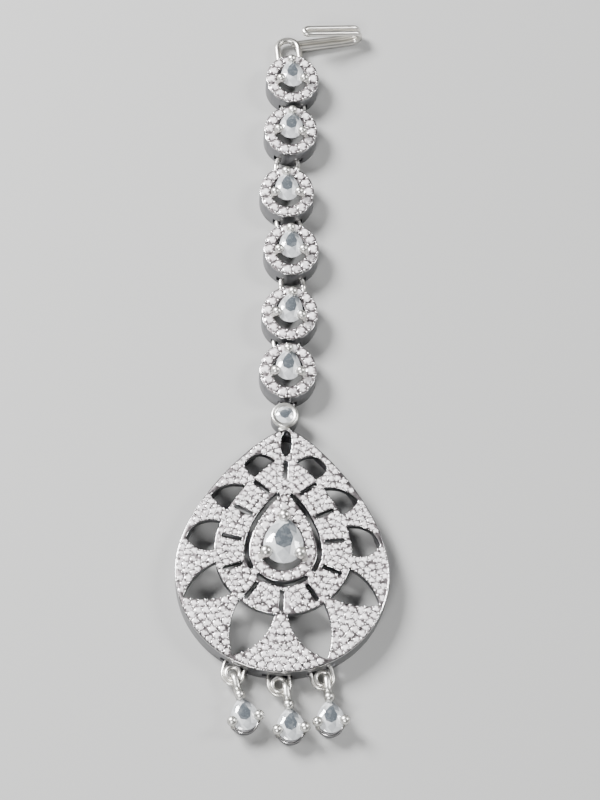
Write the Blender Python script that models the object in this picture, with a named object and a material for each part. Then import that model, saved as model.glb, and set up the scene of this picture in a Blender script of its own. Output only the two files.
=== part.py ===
"""Maang tikka, a forehead jewel, lying face up on a flat surface.

A wire hook, six halo links with pear stones, a bezel stone, a pierced teardrop
pendant and three pear drops. Metres, +Z up, +Y from the pendant to the hook.
"""
import math

import bmesh
import bpy
from mathutils import Matrix, Vector

MM = 0.001

# Gaps between pieces
RING_GAP = 0.3 * MM
SEAT_GAP = 0.2 * MM

# Cast metal shared by the links and the pendant
CAST_TOP = 3.4 * MM
PLATE_THICKNESS = 1.1 * MM
WALL_THICKNESS = 0.6 * MM
POST_WIDTH = 0.8 * MM
SLOT_REACH = 2.6 * MM
SLOT_DEPTH = 1.9 * MM

# Halo link and its pear stone
LINK_WIDTH = 9.1 * MM
LINK_LENGTH = 10.0 * MM
LINK_OPENING_WIDTH = 0.57 * LINK_WIDTH
LINK_OPENING_DROP = 0.29 * LINK_LENGTH
LINK_OPENING_RISE = 0.32 * LINK_LENGTH
HALO_BAND = 0.2 * LINK_LENGTH
HALO_STONES = 14
HALO_STONE_DIAMETER = 0.725 * HALO_BAND
HALO_STONE_RISE = 0.22 * MM
LINK_STONE_WIDTH = 0.77 * LINK_OPENING_WIDTH
LINK_STONE_LENGTH = 0.982 * (LINK_OPENING_DROP + LINK_OPENING_RISE)
LINK_STONE_GIRDLE = 3.85 * MM
LINK_BALL_RADIUS = 0.62 * MM
LINK_BALL_HEIGHT = 4.2 * MM
LINK_BALL_ACROSS = 0.5 * LINK_STONE_WIDTH
LINK_BALL_ALONG = -0.175 * LINK_STONE_WIDTH

# Jump rings of the chain: flat ovals round a post of each link's wall
CHAIN_WIRE = 0.7 * MM
CHAIN_RING_WIDTH = 4.3 * MM
CHAIN_RING_HEIGHT = 1.15 * MM

# How the links lie, from the pendant up: clear length below and sideways place as shares of
# a link's length, and turn in degrees
CHAIN_LAY = [
    {"name": "link_6", "clear": 0.09, "across": -0.01, "turn": 1.0},
    {"name": "link_5", "clear": 0.05, "across": -0.01, "turn": -6.0},
    {"name": "link_4", "clear": 0.22, "across": -0.02, "turn": 3.0},
    {"name": "link_3", "clear": 0.12, "across": -0.12, "turn": 4.0},
    {"name": "link_2", "clear": 0.26, "across": -0.09, "turn": -3.0},
    {"name": "link_1", "clear": 0.09, "across": -0.09, "turn": 4.0},
]

# Hook: an oval eye and a doubled wire bent back over itself
HOOK_WIRE = 0.85 * MM
HOOK_EYE_WIRE = 1.0 * MM
HOOK_EYE_WIDTH = 4.8 * MM
HOOK_EYE_LENGTH = 7.6 * MM
HOOK_EYE_LEAN = 7.0
HOOK_RUN = 9.8 * MM
HOOK_TURN = 15.5
HOOK_SPACING = 1.6 * MM
HOOK_BEND_DIAMETER = 2.4 * MM
HOOK_FREE_RISE = 1.9 * MM
HOOK_FREE_END = 0.9 * MM

# Pendant teardrop, measured from the middle of its round lower end; the ring and the inner
# halo are smaller teardrops in it, and the spokes lie in the band between them
PENDANT_WIDTH = 32.2 * MM
PENDANT_RISE = 0.736 * PENDANT_WIDTH
RIM_INSET = 0.02 * PENDANT_WIDTH
TIP_INSET = 0.04 * PENDANT_WIDTH
RING_WIDTH = 0.646 * PENDANT_WIDTH
RING_RISE = 0.745 * RING_WIDTH
RING_CENTRE = 0.159 * RING_WIDTH
ARC_WIDTH = 0.53 * RING_WIDTH
ARC_DROP = 0.48 * ARC_WIDTH
ARC_RISE = 0.91 * ARC_WIDTH
ARC_CENTRE = 0.92 * RING_CENTRE
ARC_GAP = 0.8 * MM
SPOKE_WIDTH = (RING_WIDTH + ARC_WIDTH) / 2
SPOKE_RISE = 0.36 * ARC_RISE + 0.64 * RING_RISE
SPOKE_CENTRE = (RING_CENTRE + ARC_CENTRE) / 2
SPOKE_COUNT = 12
SPOKE_LENGTH = 0.285 * (RING_WIDTH - ARC_WIDTH)
SPOKE_GAP = 0.7 * MM
LEAF_WIDTH = 1.7 * MM
LEAF_LENGTH = 0.19 * PENDANT_RISE
LEAF_CENTRE = 0.895 * PENDANT_RISE
OPENING_WIDTH = 0.58 * ARC_WIDTH
OPENING_DROP = 0.48 * OPENING_WIDTH
OPENING_RISE = 0.89 * OPENING_WIDTH
OPENING_CENTRE = ARC_CENTRE
CENTRE_STONE_WIDTH = 0.94 * OPENING_WIDTH
CENTRE_STONE_LENGTH = 1.33 * CENTRE_STONE_WIDTH
CENTRE_STONE_PLACE = OPENING_CENTRE + 0.13 * OPENING_WIDTH
CENTRE_STONE_GIRDLE = 3.9 * MM
CENTRE_BALL_RADIUS = 0.78 * MM
CENTRE_BALL_HEIGHT = 4.35 * MM
CENTRE_BALL_ACROSS = 0.43 * CENTRE_STONE_WIDTH
CENTRE_BALL_ALONG = -0.25 * CENTRE_STONE_WIDTH

# Petal windows of one half: shares of the ring's and the rim's half length from the tip,
# and how far each side edge bulges, as a share of its own chord
PETAL_WINDOWS = [
    {"ring_from": 0.050, "ring_to": 0.166, "rim_at": 0.169, "upper": 0.32, "lower": 0.12},
    {"ring_from": 0.220, "ring_to": 0.362, "rim_at": 0.302, "upper": 0.15, "lower": 0.10},
    {"ring_from": 0.420, "ring_to": 0.558, "rim_at": 0.451, "upper": 0.21, "lower": 0.18},
    {"ring_from": 0.615, "ring_to": 0.774, "rim_at": 0.637, "upper": 0.11, "lower": 0.09},
    {"ring_from": 0.810, "ring_to": 0.975, "rim_at": 0.863, "upper": 0.10, "lower": 0.15},
]

# Slits between the ring and the inner halo: shares of the half length from the tip
ARC_SIDE_FROM = 0.06
ARC_SIDE_TO = 0.73
ARC_FOOT_FROM = 0.81

# Bezel above the pendant's tip, soldered to it
BEZEL_ACROSS = -0.4 * MM
BEZEL_DIAMETER = 4.25 * MM
BEZEL_TOP = 3.6 * MM
BEZEL_BOTTOM = 0.8 * MM
BEZEL_WALL = 0.4 * MM
BEZEL_FLOOR = 1.4 * MM
BEZEL_CLEAR = 0.4 * MM
BEZEL_NECK_WIDTH = 1.6 * MM
BEZEL_NECK_HEIGHT = 2.4 * MM
BEZEL_STONE_DIAMETER = 3.0 * MM
BEZEL_STONE_GIRDLE = 3.2 * MM
BEZEL_LOOP_WIRE = 0.65 * MM

# Drops: place of each on the rim, swing of its ring and of its stone in degrees from straight
# down, and how far its bail lies to the side of the ring's end and below it, as shares of
# the ring's width
DROP_LAY = [
    {"name": "left", "seat": -25.0, "ring": -11.0, "slide": 0.24, "fall": 0.12, "stone": 16.0},
    {"name": "centre", "seat": -1.0, "ring": 8.0, "slide": 0.24, "fall": 0.11, "stone": 8.0},
    {"name": "right", "seat": 23.0, "ring": 15.0, "slide": 0.09, "fall": 0.0, "stone": 6.0},
]
DROP_WIRE = 0.7 * MM
DROP_RING_WIDTH = 3.7 * MM
DROP_RING_LENGTH = 4.7 * MM
DROP_RING_HEIGHT = 1.4 * MM
BAIL_SHIFT = -0.2 * MM
BAIL_LENGTH = 3.6 * MM
BAIL_HEIGHT = 2.7 * MM
BAIL_WIRE = 0.7 * MM
DROP_STONE_WIDTH = 4.0 * MM
DROP_STONE_LENGTH = 5.1 * MM
DROP_STONE_GIRDLE = 2.35 * MM
DROP_BALL_RADIUS = 0.6 * MM
DROP_BALL_HEIGHT = 2.8 * MM
DROP_BALL_PLACE = 2.9 * MM
DROP_BALL_ACROSS = 2.15 * MM
DROP_NECK = 0.1 * MM
DROP_HEAD_PLACE = 0.45 * MM
DROP_BASE_HEIGHT = 0.8 * MM
DROP_BASE_WALL = 0.7 * MM

# Shape shares of the teardrops: control points of the side curve
METAL_SHOULDER = 0.46
METAL_TIP = 0.20
STONE_SHOULDER = 0.50
STONE_TIP = 0.30
STONE_TIP_UP = 0.80

# Facet counts
LINK_SIDES = 24
OUTLINE_STEPS = 12
WINDOW_STEPS = 4
ARC_STEPS = 8
LEAF_SIDES = 12
RING_END_STEPS = 6
STONE_SIDES = 16
HALO_STONE_SIDES = 8
WIRE_BEVEL_STEPS = 1
BALL_SIDES = 8
BALL_RING_COUNT = 4
STEM_SIDES = 6

WELD = 0.001 * MM

FINISHES = {
    "rhodium_cast": {"colour": (0.80, 0.79, 0.80, 1.0), "metallic": 1.0, "roughness": 0.22},
    "rhodium_wire": {"colour": (0.84, 0.83, 0.81, 1.0), "metallic": 1.0, "roughness": 0.14},
    "clear_stone": {"colour": (0.90, 0.94, 0.97, 1.0), "metallic": 0.0, "roughness": 0.03},
}


# Outlines

def bezier(start, first, second, end, steps):
    """Points of a cubic curve after its start."""
    points = []
    for step in range(1, steps + 1):
        t = step / steps
        u = 1.0 - t
        point = start * u ** 3 + first * 3 * u * u * t + second * 3 * u * t * t + end * t ** 3
        points.append(point)
    return points


def bulged_edge(start, end, bulge, steps):
    """Points after the start of an edge that bulges to its left by a share of its chord."""
    chord = end - start
    lift = Vector((-chord.y, chord.x)) * bulge
    knee = (start + end) / 2 + lift * 2
    first = start.lerp(knee, 2 / 3)
    second = end.lerp(knee, 2 / 3)
    return bezier(start, first, second, end, steps)


def half_pear(width, drop, rise, centre=0.0, shoulder=METAL_SHOULDER, tip=METAL_TIP,
              tip_up=1.0, steps=OUTLINE_STEPS):
    """Right half of a teardrop, from its tip round to the foot of its axis."""
    half = width / 2
    points = []
    for step in range(steps + 1):
        angle = -math.pi / 2 + math.pi / 2 * step / steps
        points.append(Vector((half * math.cos(angle), drop * math.sin(angle))))
    points[0].x = 0.0
    side = bezier(
        points[-1],
        Vector((half, shoulder * rise)),
        Vector((tip * half, tip_up * rise)),
        Vector((0.0, rise)),
        steps,
    )
    points += side
    points.reverse()
    return [Vector((point.x, point.y + centre)) for point in points]


def mirrored(points):
    """The same points on the other side of the axis, in the reverse order."""
    return [Vector((-point.x, point.y)) for point in reversed(points)]


def whole_pear(half):
    """A closed outline from a half that runs from the tip to the foot."""
    return half + mirrored(half)[1:-1]


def ellipse(width, length, centre, steps):
    """A closed ellipse with its middle on the axis."""
    points = []
    for step in range(steps):
        angle = 2 * math.pi * step / steps
        across = width / 2 * math.cos(angle)
        along = centre + length / 2 * math.sin(angle)
        points.append(Vector((across, along)))
    return points


def walk(points, share):
    """Place and left-hand normal at a share of a line's length."""
    lengths = [(after - before).length for before, after in zip(points, points[1:])]
    left = share * sum(lengths)
    for before, after, length in zip(points, points[1:], lengths):
        if left <= length + WELD:
            direction = (after - before).normalized()
            place = before + direction * left
            return place, Vector((-direction.y, direction.x))
        left -= length
    direction = (points[-1] - points[-2]).normalized()
    return points[-1].copy(), Vector((-direction.y, direction.x))


def stretch(points, start, end, steps):
    """Evenly spaced points between two shares of a line."""
    return [walk(points, start + (end - start) * step / steps)[0] for step in range(steps + 1)]


def band(line, gap):
    """A closed strip of one width along a line of points."""
    outer = []
    inner = []
    for index, point in enumerate(line):
        before = line[max(index - 1, 0)]
        after = line[min(index + 1, len(line) - 1)]
        along = (after - before).normalized()
        normal = Vector((-along.y, along.x))
        outer.append(point + normal * gap / 2)
        inner.append(point - normal * gap / 2)
    return outer + inner[::-1]


def oval_path(width, length, end_steps=RING_END_STEPS):
    """Middle line of a wire oval with round ends, long way along Y."""
    radius = width / 2
    straight = length / 2 - radius
    points = []
    for step in range(end_steps + 1):
        angle = math.pi * step / end_steps
        points.append(Vector((radius * math.cos(angle), straight + radius * math.sin(angle), 0.0)))
    for step in range(end_steps + 1):
        angle = math.pi + math.pi * step / end_steps
        points.append(Vector((radius * math.cos(angle), -straight + radius * math.sin(angle), 0.0)))
    return points


# Solids

def finish(name):
    """A material of the given finish, made once."""
    material = bpy.data.materials.get(name)
    if material:
        return material
    values = FINISHES[name]
    material = bpy.data.materials.new(name)
    material.use_nodes = True
    shader = material.node_tree.nodes["Principled BSDF"]
    shader.inputs["Base Color"].default_value = values["colour"]
    shader.inputs["Metallic"].default_value = values["metallic"]
    shader.inputs["Roughness"].default_value = values["roughness"]
    material.diffuse_color = values["colour"]
    return material


def new_object(name, data):
    """An object in the scene's own collection until it is assembled."""
    item = bpy.data.objects.new(name, data)
    bpy.context.scene.collection.objects.link(item)
    return item


def mesh_object(name, bm):
    """An object from a bmesh, which is used up."""
    bmesh.ops.recalc_face_normals(bm, faces=bm.faces)
    mesh = bpy.data.meshes.new(name)
    bm.to_mesh(mesh)
    bm.free()
    return new_object(name, mesh)


def as_mesh(item):
    """A curve object made a closed mesh, with its caps welded."""
    bpy.context.view_layer.update()
    graph = bpy.context.evaluated_depsgraph_get()
    mesh = bpy.data.meshes.new_from_object(item.evaluated_get(graph))
    bm = bmesh.new()
    bm.from_mesh(mesh)
    bmesh.ops.remove_doubles(bm, verts=bm.verts, dist=WELD)
    bmesh.ops.recalc_face_normals(bm, faces=bm.faces)
    bm.to_mesh(mesh)
    bm.free()
    mesh.materials.clear()
    solid = new_object(item.name + "_solid", mesh)
    solid.matrix_world = item.matrix_world
    bpy.data.objects.remove(item)
    return solid


def settle(item):
    """Puts an object's own place into its mesh."""
    item.data.transform(item.matrix_world)
    item.matrix_world = Matrix.Identity(4)
    return item


def flat_solid(name, outlines, bottom, top):
    """A plate between two heights, with the first outline outside and the rest cut out."""
    curve = bpy.data.curves.new(name, "CURVE")
    curve.dimensions = "2D"
    curve.fill_mode = "BOTH"
    curve.extrude = (top - bottom) / 2
    for outline in outlines:
        spline = curve.splines.new("POLY")
        spline.points.add(len(outline) - 1)
        for point, place in zip(spline.points, outline):
            point.co = (place.x, place.y, 0.0, 1.0)
        spline.use_cyclic_u = True
    item = new_object(name, curve)
    item.location.z = (top + bottom) / 2
    return settle(as_mesh(item))


def wire(name, path, diameter, closed):
    """A round wire along a path, as a closed loop or with flat ends."""
    curve = bpy.data.curves.new(name, "CURVE")
    curve.dimensions = "3D"
    curve.fill_mode = "FULL"
    curve.bevel_depth = diameter / 2
    curve.bevel_resolution = WIRE_BEVEL_STEPS
    curve.use_fill_caps = True
    spline = curve.splines.new("POLY")
    spline.points.add(len(path) - 1)
    for point, place in zip(spline.points, path):
        point.co = (place.x, place.y, place.z, 1.0)
    spline.use_cyclic_u = closed
    return as_mesh(new_object(name, curve))


def block(name, low, high):
    """A box between two corners."""
    bm = bmesh.new()
    size = Vector(high) - Vector(low)
    middle = (Vector(high) + Vector(low)) / 2
    matrix = Matrix.Translation(middle) @ Matrix.Diagonal((size.x, size.y, size.z, 1.0))
    bmesh.ops.create_cube(bm, size=1.0, matrix=matrix)
    return mesh_object(name, bm)


def ball(name, place, radius):
    """A prong's round head."""
    bm = bmesh.new()
    bmesh.ops.create_uvsphere(
        bm, u_segments=BALL_SIDES, v_segments=BALL_RING_COUNT, radius=radius,
        matrix=Matrix.Translation(place))
    return mesh_object(name, bm)


def stem(name, foot, head, foot_radius, head_radius):
    """A tapered prong between two points."""
    axis = head - foot
    turn = Vector((0.0, 0.0, 1.0)).rotation_difference(axis).to_matrix().to_4x4()
    bm = bmesh.new()
    bmesh.ops.create_cone(
        bm, cap_ends=True, segments=STEM_SIDES, radius1=foot_radius, radius2=head_radius,
        depth=axis.length, matrix=Matrix.Translation((foot + head) / 2) @ turn)
    return mesh_object(name, bm)


def combine(target, tool, operation):
    """Joins a solid to another, or cuts it out, and removes it."""
    modifier = target.modifiers.new(operation.lower(), "BOOLEAN")
    modifier.operation = operation
    modifier.solver = "EXACT"
    modifier.object = tool
    bpy.context.view_layer.update()
    graph = bpy.context.evaluated_depsgraph_get()
    mesh = bpy.data.meshes.new_from_object(target.evaluated_get(graph))
    target.modifiers.clear()
    target.data = mesh
    bpy.data.objects.remove(tool)
    return target


def join(target, *tools):
    """Fuses solids into one body."""
    for tool in tools:
        combine(target, tool, "UNION")
    return target


def cut(target, *tools):
    """Cuts solids out of a body."""
    for tool in tools:
        combine(target, tool, "DIFFERENCE")
    return target


def stone_shape(outline, crown, girdle, depth, keel, grow=0.0):
    """A cut stone as the hull of its facet corners, its lower girdle edge at height zero.

    The outline holds STONE_SIDES points. The table, the star facets, the girdle and the
    pavilion are smaller copies of it, and the culet lies on the axis at the keel.
    """
    middle = Vector((0.0, keel))
    rings = [
        {"size": 0.55, "height": girdle + crown, "skip": 2, "first": 0},
        {"size": 0.80, "height": girdle + crown * 0.62, "skip": 2, "first": 1},
        {"size": 1.00, "height": girdle, "skip": 1, "first": 0},
        {"size": 1.00, "height": 0.0, "skip": 1, "first": 0},
        {"size": 0.52, "height": -depth * 0.58, "skip": 2, "first": 0},
    ]
    bm = bmesh.new()
    for ring in rings:
        spread = grow if ring["height"] > -depth / 2 else grow / 2
        lift = grow if ring["height"] > 0.0 else -grow
        for point in outline[ring["first"]::ring["skip"]]:
            offset = (point - middle) * ring["size"]
            place = middle + offset + offset.normalized() * spread
            bm.verts.new((place.x, place.y, ring["height"] + lift))
    bm.verts.new((middle.x, middle.y, -depth - grow))
    hull = bmesh.ops.convex_hull(bm, input=bm.verts)
    inside = [item for item in hull["geom_interior"] if isinstance(item, bmesh.types.BMVert)]
    bmesh.ops.delete(bm, geom=inside, context="VERTS")
    return bm


def pear_stone_outline(width, length):
    """Points round a pear stone, measured from the middle of its round end."""
    drop = width / 2
    half = half_pear(
        width, drop, length - drop, shoulder=STONE_SHOULDER, tip=STONE_TIP,
        tip_up=STONE_TIP_UP)
    steps = STONE_SIDES // 2
    side = stretch(half, 0.0, 1.0, steps)
    return whole_pear(side)


def pear_stone(name, width, length, grow=0.0):
    """A pear-cut stone with its lower girdle edge at height zero."""
    outline = pear_stone_outline(width, length)
    keel = (length - width) * 0.4
    shape = stone_shape(outline, width * 0.13, width * 0.03, width * 0.33, keel, grow)
    return mesh_object(name, shape)


def round_stone(name, diameter, grow=0.0):
    """A round brilliant with its lower girdle edge at height zero."""
    outline = ellipse(diameter, diameter, 0.0, STONE_SIDES)
    shape = stone_shape(outline, diameter * 0.15, diameter * 0.04, diameter * 0.4, 0.0, grow)
    return mesh_object(name, shape)


def halo_stones(name, places, diameter, base, rise):
    """Small round stones half sunk in a plate, each with a table and eight crown facets."""
    bm = bmesh.new()
    depth = rise * 2
    for place in places:
        middle = Vector((place.x, place.y, base))
        bmesh.ops.create_cone(
            bm, cap_ends=True, segments=HALO_STONE_SIDES, radius1=diameter / 2,
            radius2=diameter * 0.3, depth=depth, matrix=Matrix.Translation(middle))
    return mesh_object(name, bm)


# Halo links

LINK_POST_PLACE = (LINK_LENGTH - WALL_THICKNESS) / 2
PLATE_BOTTOM = CAST_TOP - PLATE_THICKNESS
STEM_RADIUS = 0.36 * MM


def post_slots(reach, height, wire_size):
    """Two boxes that leave a post at the end of a wall on +Y, for a ring to pass round."""
    low = height - wire_size / 2 - RING_GAP
    high = height + wire_size / 2 + RING_GAP
    slots = []
    for side in (-1, 1):
        inner = side * POST_WIDTH / 2
        outer = side * SLOT_REACH
        near = (min(inner, outer), reach - SLOT_DEPTH, low)
        far = (max(inner, outer), reach + RING_GAP, high)
        slots.append(block("slot", near, far))
    return slots


def link_setting_mesh():
    """One halo link: plate, wall, fourteen stones and three prongs as one solid."""
    outer = ellipse(LINK_WIDTH, LINK_LENGTH, 0.0, LINK_SIDES)
    opening = whole_pear(half_pear(
        LINK_OPENING_WIDTH, LINK_OPENING_DROP, LINK_OPENING_RISE, steps=6))
    setting = flat_solid("setting", [outer, opening], 0.0, CAST_TOP)
    inner = ellipse(LINK_WIDTH - 2 * WALL_THICKNESS, LINK_LENGTH - 2 * WALL_THICKNESS,
                    0.0, LINK_SIDES)
    cut(setting, flat_solid("hollow", [inner], -PLATE_THICKNESS, PLATE_BOTTOM))
    for turn in (0.0, math.pi):
        slots = post_slots(LINK_LENGTH / 2, CHAIN_RING_HEIGHT, CHAIN_WIRE)
        for slot in slots:
            slot.data.transform(Matrix.Rotation(turn, 4, "Z"))
        cut(setting, *slots)
    places = []
    for index in range(HALO_STONES):
        angle = -math.pi / 2 + 2 * math.pi * (index + 0.5) / HALO_STONES
        across = (LINK_WIDTH - HALO_BAND) / 2 * math.cos(angle)
        along = (LINK_LENGTH - HALO_BAND) / 2 * math.sin(angle)
        places.append(Vector((across, along)))
    join(setting, halo_stones(
        "halo", places, HALO_STONE_DIAMETER, CAST_TOP, HALO_STONE_RISE))
    half_stone = LINK_STONE_WIDTH / 2
    tip = LINK_STONE_LENGTH - half_stone
    foot_height = CAST_TOP - PLATE_THICKNESS / 2
    side_ball = Vector((LINK_BALL_ACROSS, LINK_BALL_ALONG, LINK_BALL_HEIGHT))
    side_foot = Vector((LINK_OPENING_WIDTH / 2 + STEM_RADIUS, LINK_BALL_ALONG - STEM_RADIUS,
                        foot_height))
    tip_ball = Vector((0.0, tip + LINK_BALL_RADIUS / 3, LINK_BALL_HEIGHT))
    tip_foot = Vector((0.0, tip + LINK_BALL_RADIUS / 2, foot_height))
    prongs = [stem("stem", tip_foot, tip_ball, STEM_RADIUS, STEM_RADIUS)]
    prongs.append(ball("ball", tip_ball, LINK_BALL_RADIUS))
    for side in (-1, 1):
        flip = Vector((side, 1.0, 1.0))
        prongs.append(stem("stem", side_foot * flip, side_ball * flip, STEM_RADIUS, STEM_RADIUS))
        prongs.append(ball("ball", side_ball * flip, LINK_BALL_RADIUS))
    join(setting, *prongs)
    seat = pear_stone("seat", LINK_STONE_WIDTH, LINK_STONE_LENGTH, SEAT_GAP)
    seat.location.z = LINK_STONE_GIRDLE
    cut(setting, seat)
    return take_mesh(setting, "link_setting")


def take_mesh(item, name):
    """The mesh of a finished body, whose object is no longer needed."""
    mesh = item.data
    mesh.name = name
    bpy.data.objects.remove(item)
    return mesh


def link_stone_mesh():
    """The link's pear stone at its height in the link."""
    stone = pear_stone("link_stone", LINK_STONE_WIDTH, LINK_STONE_LENGTH)
    stone.data.transform(Matrix.Translation((0.0, 0.0, LINK_STONE_GIRDLE)))
    return take_mesh(stone, "link_stone")


def chain_places():
    """Place and turn of every link, worked out from the bezel up."""
    places = {}
    along = BEZEL_PLACE + BEZEL_DIAMETER / 2
    for row in CHAIN_LAY:
        middle = along + (row["clear"] + 0.5) * LINK_LENGTH
        turn = Matrix.Rotation(math.radians(row["turn"]), 4, "Z")
        across = row["across"] * LINK_LENGTH
        places[row["name"]] = Matrix.Translation((across, middle, 0.0)) @ turn
        along = middle + LINK_LENGTH / 2
    return places


def jump_ring(name, foot, head, width, length, height, diameter):
    """A flat oval ring centred between two posts, with its long way between them."""
    item = wire(name, oval_path(width - diameter, length - diameter), diameter, True)
    along = head - foot
    turn = Matrix.Rotation(math.atan2(-along.x, along.y), 4, "Z")
    middle = (foot + head) / 2
    item.matrix_world = Matrix.Translation((middle.x, middle.y, height)) @ turn
    return item


def make_links(assembly):
    """The six links, their stones and the five jump rings between them."""
    places = chain_places()
    setting_mesh = link_setting_mesh()
    stone_mesh = link_stone_mesh()
    widest = max(row["clear"] for row in CHAIN_LAY[1:]) * LINK_LENGTH
    reach = 2 * (WALL_THICKNESS + RING_GAP + CHAIN_WIRE)
    upward = Vector((0.0, LINK_POST_PLACE, 0.0))
    for row in CHAIN_LAY:
        place = places[row["name"]]
        assembly.add(row["name"] + "_setting", new_object("setting", setting_mesh),
                     "rhodium_cast", place)
        assembly.add(row["name"] + "_stone", new_object("stone", stone_mesh),
                     "clear_stone", place)
    for lower, upper in zip(CHAIN_LAY, CHAIN_LAY[1:]):
        foot = places[lower["name"]] @ upward
        head = places[upper["name"]] @ -upward
        ring = jump_ring("ring", foot, head, CHAIN_RING_WIDTH, widest + reach,
                         CHAIN_RING_HEIGHT, CHAIN_WIRE)
        numbers = upper["name"][-1] + "_" + lower["name"][-1]
        assembly.add("jump_ring_" + numbers, ring, "rhodium_wire", ring.matrix_world.copy())
    return places[CHAIN_LAY[-1]["name"]] @ upward


# Hook

def hook_run(side):
    """One wire of the hook from its eye, along the surface, round the bend and back above."""
    across = side * HOOK_SPACING / 2
    radius = HOOK_BEND_DIAMETER / 2
    start = -HOOK_WIRE if side > 0 else -HOOK_WIRE / 3
    low = HOOK_WIRE / 2
    points = [Vector((start, across, CHAIN_RING_HEIGHT)), Vector((HOOK_RUN, across, low))]
    steps = 8
    for step in range(1, steps + 1):
        angle = -math.pi / 2 + math.pi * step / steps
        along = HOOK_RUN + radius * math.cos(angle)
        points.append(Vector((along, across, low + radius + radius * math.sin(angle))))
    return points


def hook_path():
    """The doubled wire as one line: out along one run, round the free end, back along the other."""
    radius = HOOK_SPACING / 2
    free = HOOK_FREE_END + radius
    height = HOOK_WIRE / 2 + HOOK_BEND_DIAMETER + HOOK_FREE_RISE
    far = hook_run(1)
    near = hook_run(-1)
    turn = []
    steps = 6
    for step in range(steps + 1):
        angle = math.pi / 2 + math.pi * step / steps
        turn.append(Vector((free + radius * math.cos(angle), radius * math.sin(angle), height)))
    return far + turn + near[::-1]


def make_hook(assembly, post):
    """The hook: its eye goes round the top link's post, and the doubled wire is soldered to it."""
    eye_reach = WALL_THICKNESS / 2 + RING_GAP + HOOK_EYE_WIRE / 2
    path = oval_path(HOOK_EYE_WIDTH - HOOK_EYE_WIRE, HOOK_EYE_LENGTH - HOOK_EYE_WIRE, 8)
    hook = wire("eye", path, HOOK_EYE_WIRE, True)
    half = (HOOK_EYE_LENGTH - HOOK_EYE_WIRE) / 2
    lean = Matrix.Rotation(math.radians(HOOK_EYE_LEAN), 4, "Z")
    foot = Vector((post.x, post.y - eye_reach, CHAIN_RING_HEIGHT))
    eye_place = Matrix.Translation(foot) @ lean @ Matrix.Translation((0.0, half, 0.0))
    hook.data.transform(eye_place)
    shoulder = eye_place @ Vector(((HOOK_EYE_WIDTH - HOOK_EYE_WIRE) / 2, half * 0.6, 0.0))
    run = wire("run", hook_path(), HOOK_WIRE, False)
    run_turn = Matrix.Rotation(math.radians(HOOK_TURN), 4, "Z")
    run.data.transform(Matrix.Translation((shoulder.x, shoulder.y, 0.0)) @ run_turn)
    join(hook, run)
    assembly.add("hook", hook, "rhodium_wire", Matrix.Identity(4))


# Pendant

RIM_HALF = half_pear(PENDANT_WIDTH, PENDANT_WIDTH / 2, PENDANT_RISE, steps=18)
RING_HALF = half_pear(RING_WIDTH, RING_WIDTH / 2, RING_RISE, RING_CENTRE, steps=18)
ARC_HALF = half_pear(ARC_WIDTH, ARC_DROP, ARC_RISE, ARC_CENTRE, steps=18)
BEZEL_PLACE = PENDANT_RISE + BEZEL_CLEAR + BEZEL_DIAMETER / 2
RIM_POST_PLACE = (PENDANT_WIDTH - WALL_THICKNESS) / 2


def petal_window(row, inset):
    """One window of the right half: along the ring, out to the rim and back."""
    inner = stretch(RING_HALF, row["ring_to"], row["ring_from"], WINDOW_STEPS)
    rim, inward = walk(RIM_HALF, row["rim_at"])
    corner = rim - inward * inset
    upper = bulged_edge(inner[-1], corner, row["upper"], WINDOW_STEPS)
    lower = bulged_edge(corner, inner[0], row["lower"], WINDOW_STEPS)
    return inner + upper + lower[:-1]


def spoke_slits():
    """Slits across the ring's band, evenly spaced round its middle line."""
    middle = half_pear(SPOKE_WIDTH, SPOKE_WIDTH / 2, SPOKE_RISE, SPOKE_CENTRE, steps=18)
    slits = []
    half_count = SPOKE_COUNT // 2
    for index in range(half_count + 1):
        place, normal = walk(middle, index / half_count)
        if index in (0, half_count):
            normal = Vector((0.0, 1.0))
            place.x = 0.0
        line = [place - normal * SPOKE_LENGTH / 2, place + normal * SPOKE_LENGTH / 2]
        slit = band(line, SPOKE_GAP)
        slits.append(slit)
        if 0 < index < half_count:
            slits.append(mirrored(slit))
    return slits


def halo_slits():
    """Three curved slits that part the inner halo from the ring."""
    side = band(stretch(ARC_HALF, ARC_SIDE_FROM, ARC_SIDE_TO, ARC_STEPS), ARC_GAP)
    foot_half = stretch(ARC_HALF, ARC_FOOT_FROM, 1.0, ARC_STEPS // 3)
    foot = band(foot_half + mirrored(foot_half)[1:], ARC_GAP)
    return [side, mirrored(side), foot]


def pierced_plate():
    """The pendant's outline in full depth, with every window and slit cut through."""
    outlines = [whole_pear(RIM_HALF)]
    for index, row in enumerate(PETAL_WINDOWS):
        window = petal_window(row, TIP_INSET if index == 0 else RIM_INSET)
        outlines += [window, mirrored(window)]
    outlines.append(ellipse(LEAF_WIDTH, LEAF_LENGTH, LEAF_CENTRE, LEAF_SIDES))
    outlines += spoke_slits() + halo_slits()
    opening = half_pear(
        OPENING_WIDTH, OPENING_DROP, OPENING_RISE, OPENING_CENTRE,
        shoulder=STONE_SHOULDER, tip=STONE_TIP, tip_up=STONE_TIP_UP, steps=8)
    outlines.append(whole_pear(opening))
    return flat_solid("plate", outlines, 0.0, CAST_TOP)


def inset_pear(inset):
    """The pendant's outline moved inward by one distance."""
    points = []
    for index, point in enumerate(RIM_HALF):
        before = RIM_HALF[max(index - 1, 0)]
        after = RIM_HALF[min(index + 1, len(RIM_HALF) - 1)]
        along = (after - before).normalized()
        outward = Vector((-along.y, along.x))
        moved = point - outward * inset
        points.append(moved)
    points[0] = Vector((0.0, RIM_HALF[0].y - inset))
    points[-1] = Vector((0.0, RIM_HALF[-1].y + inset))
    return whole_pear(points)


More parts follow.
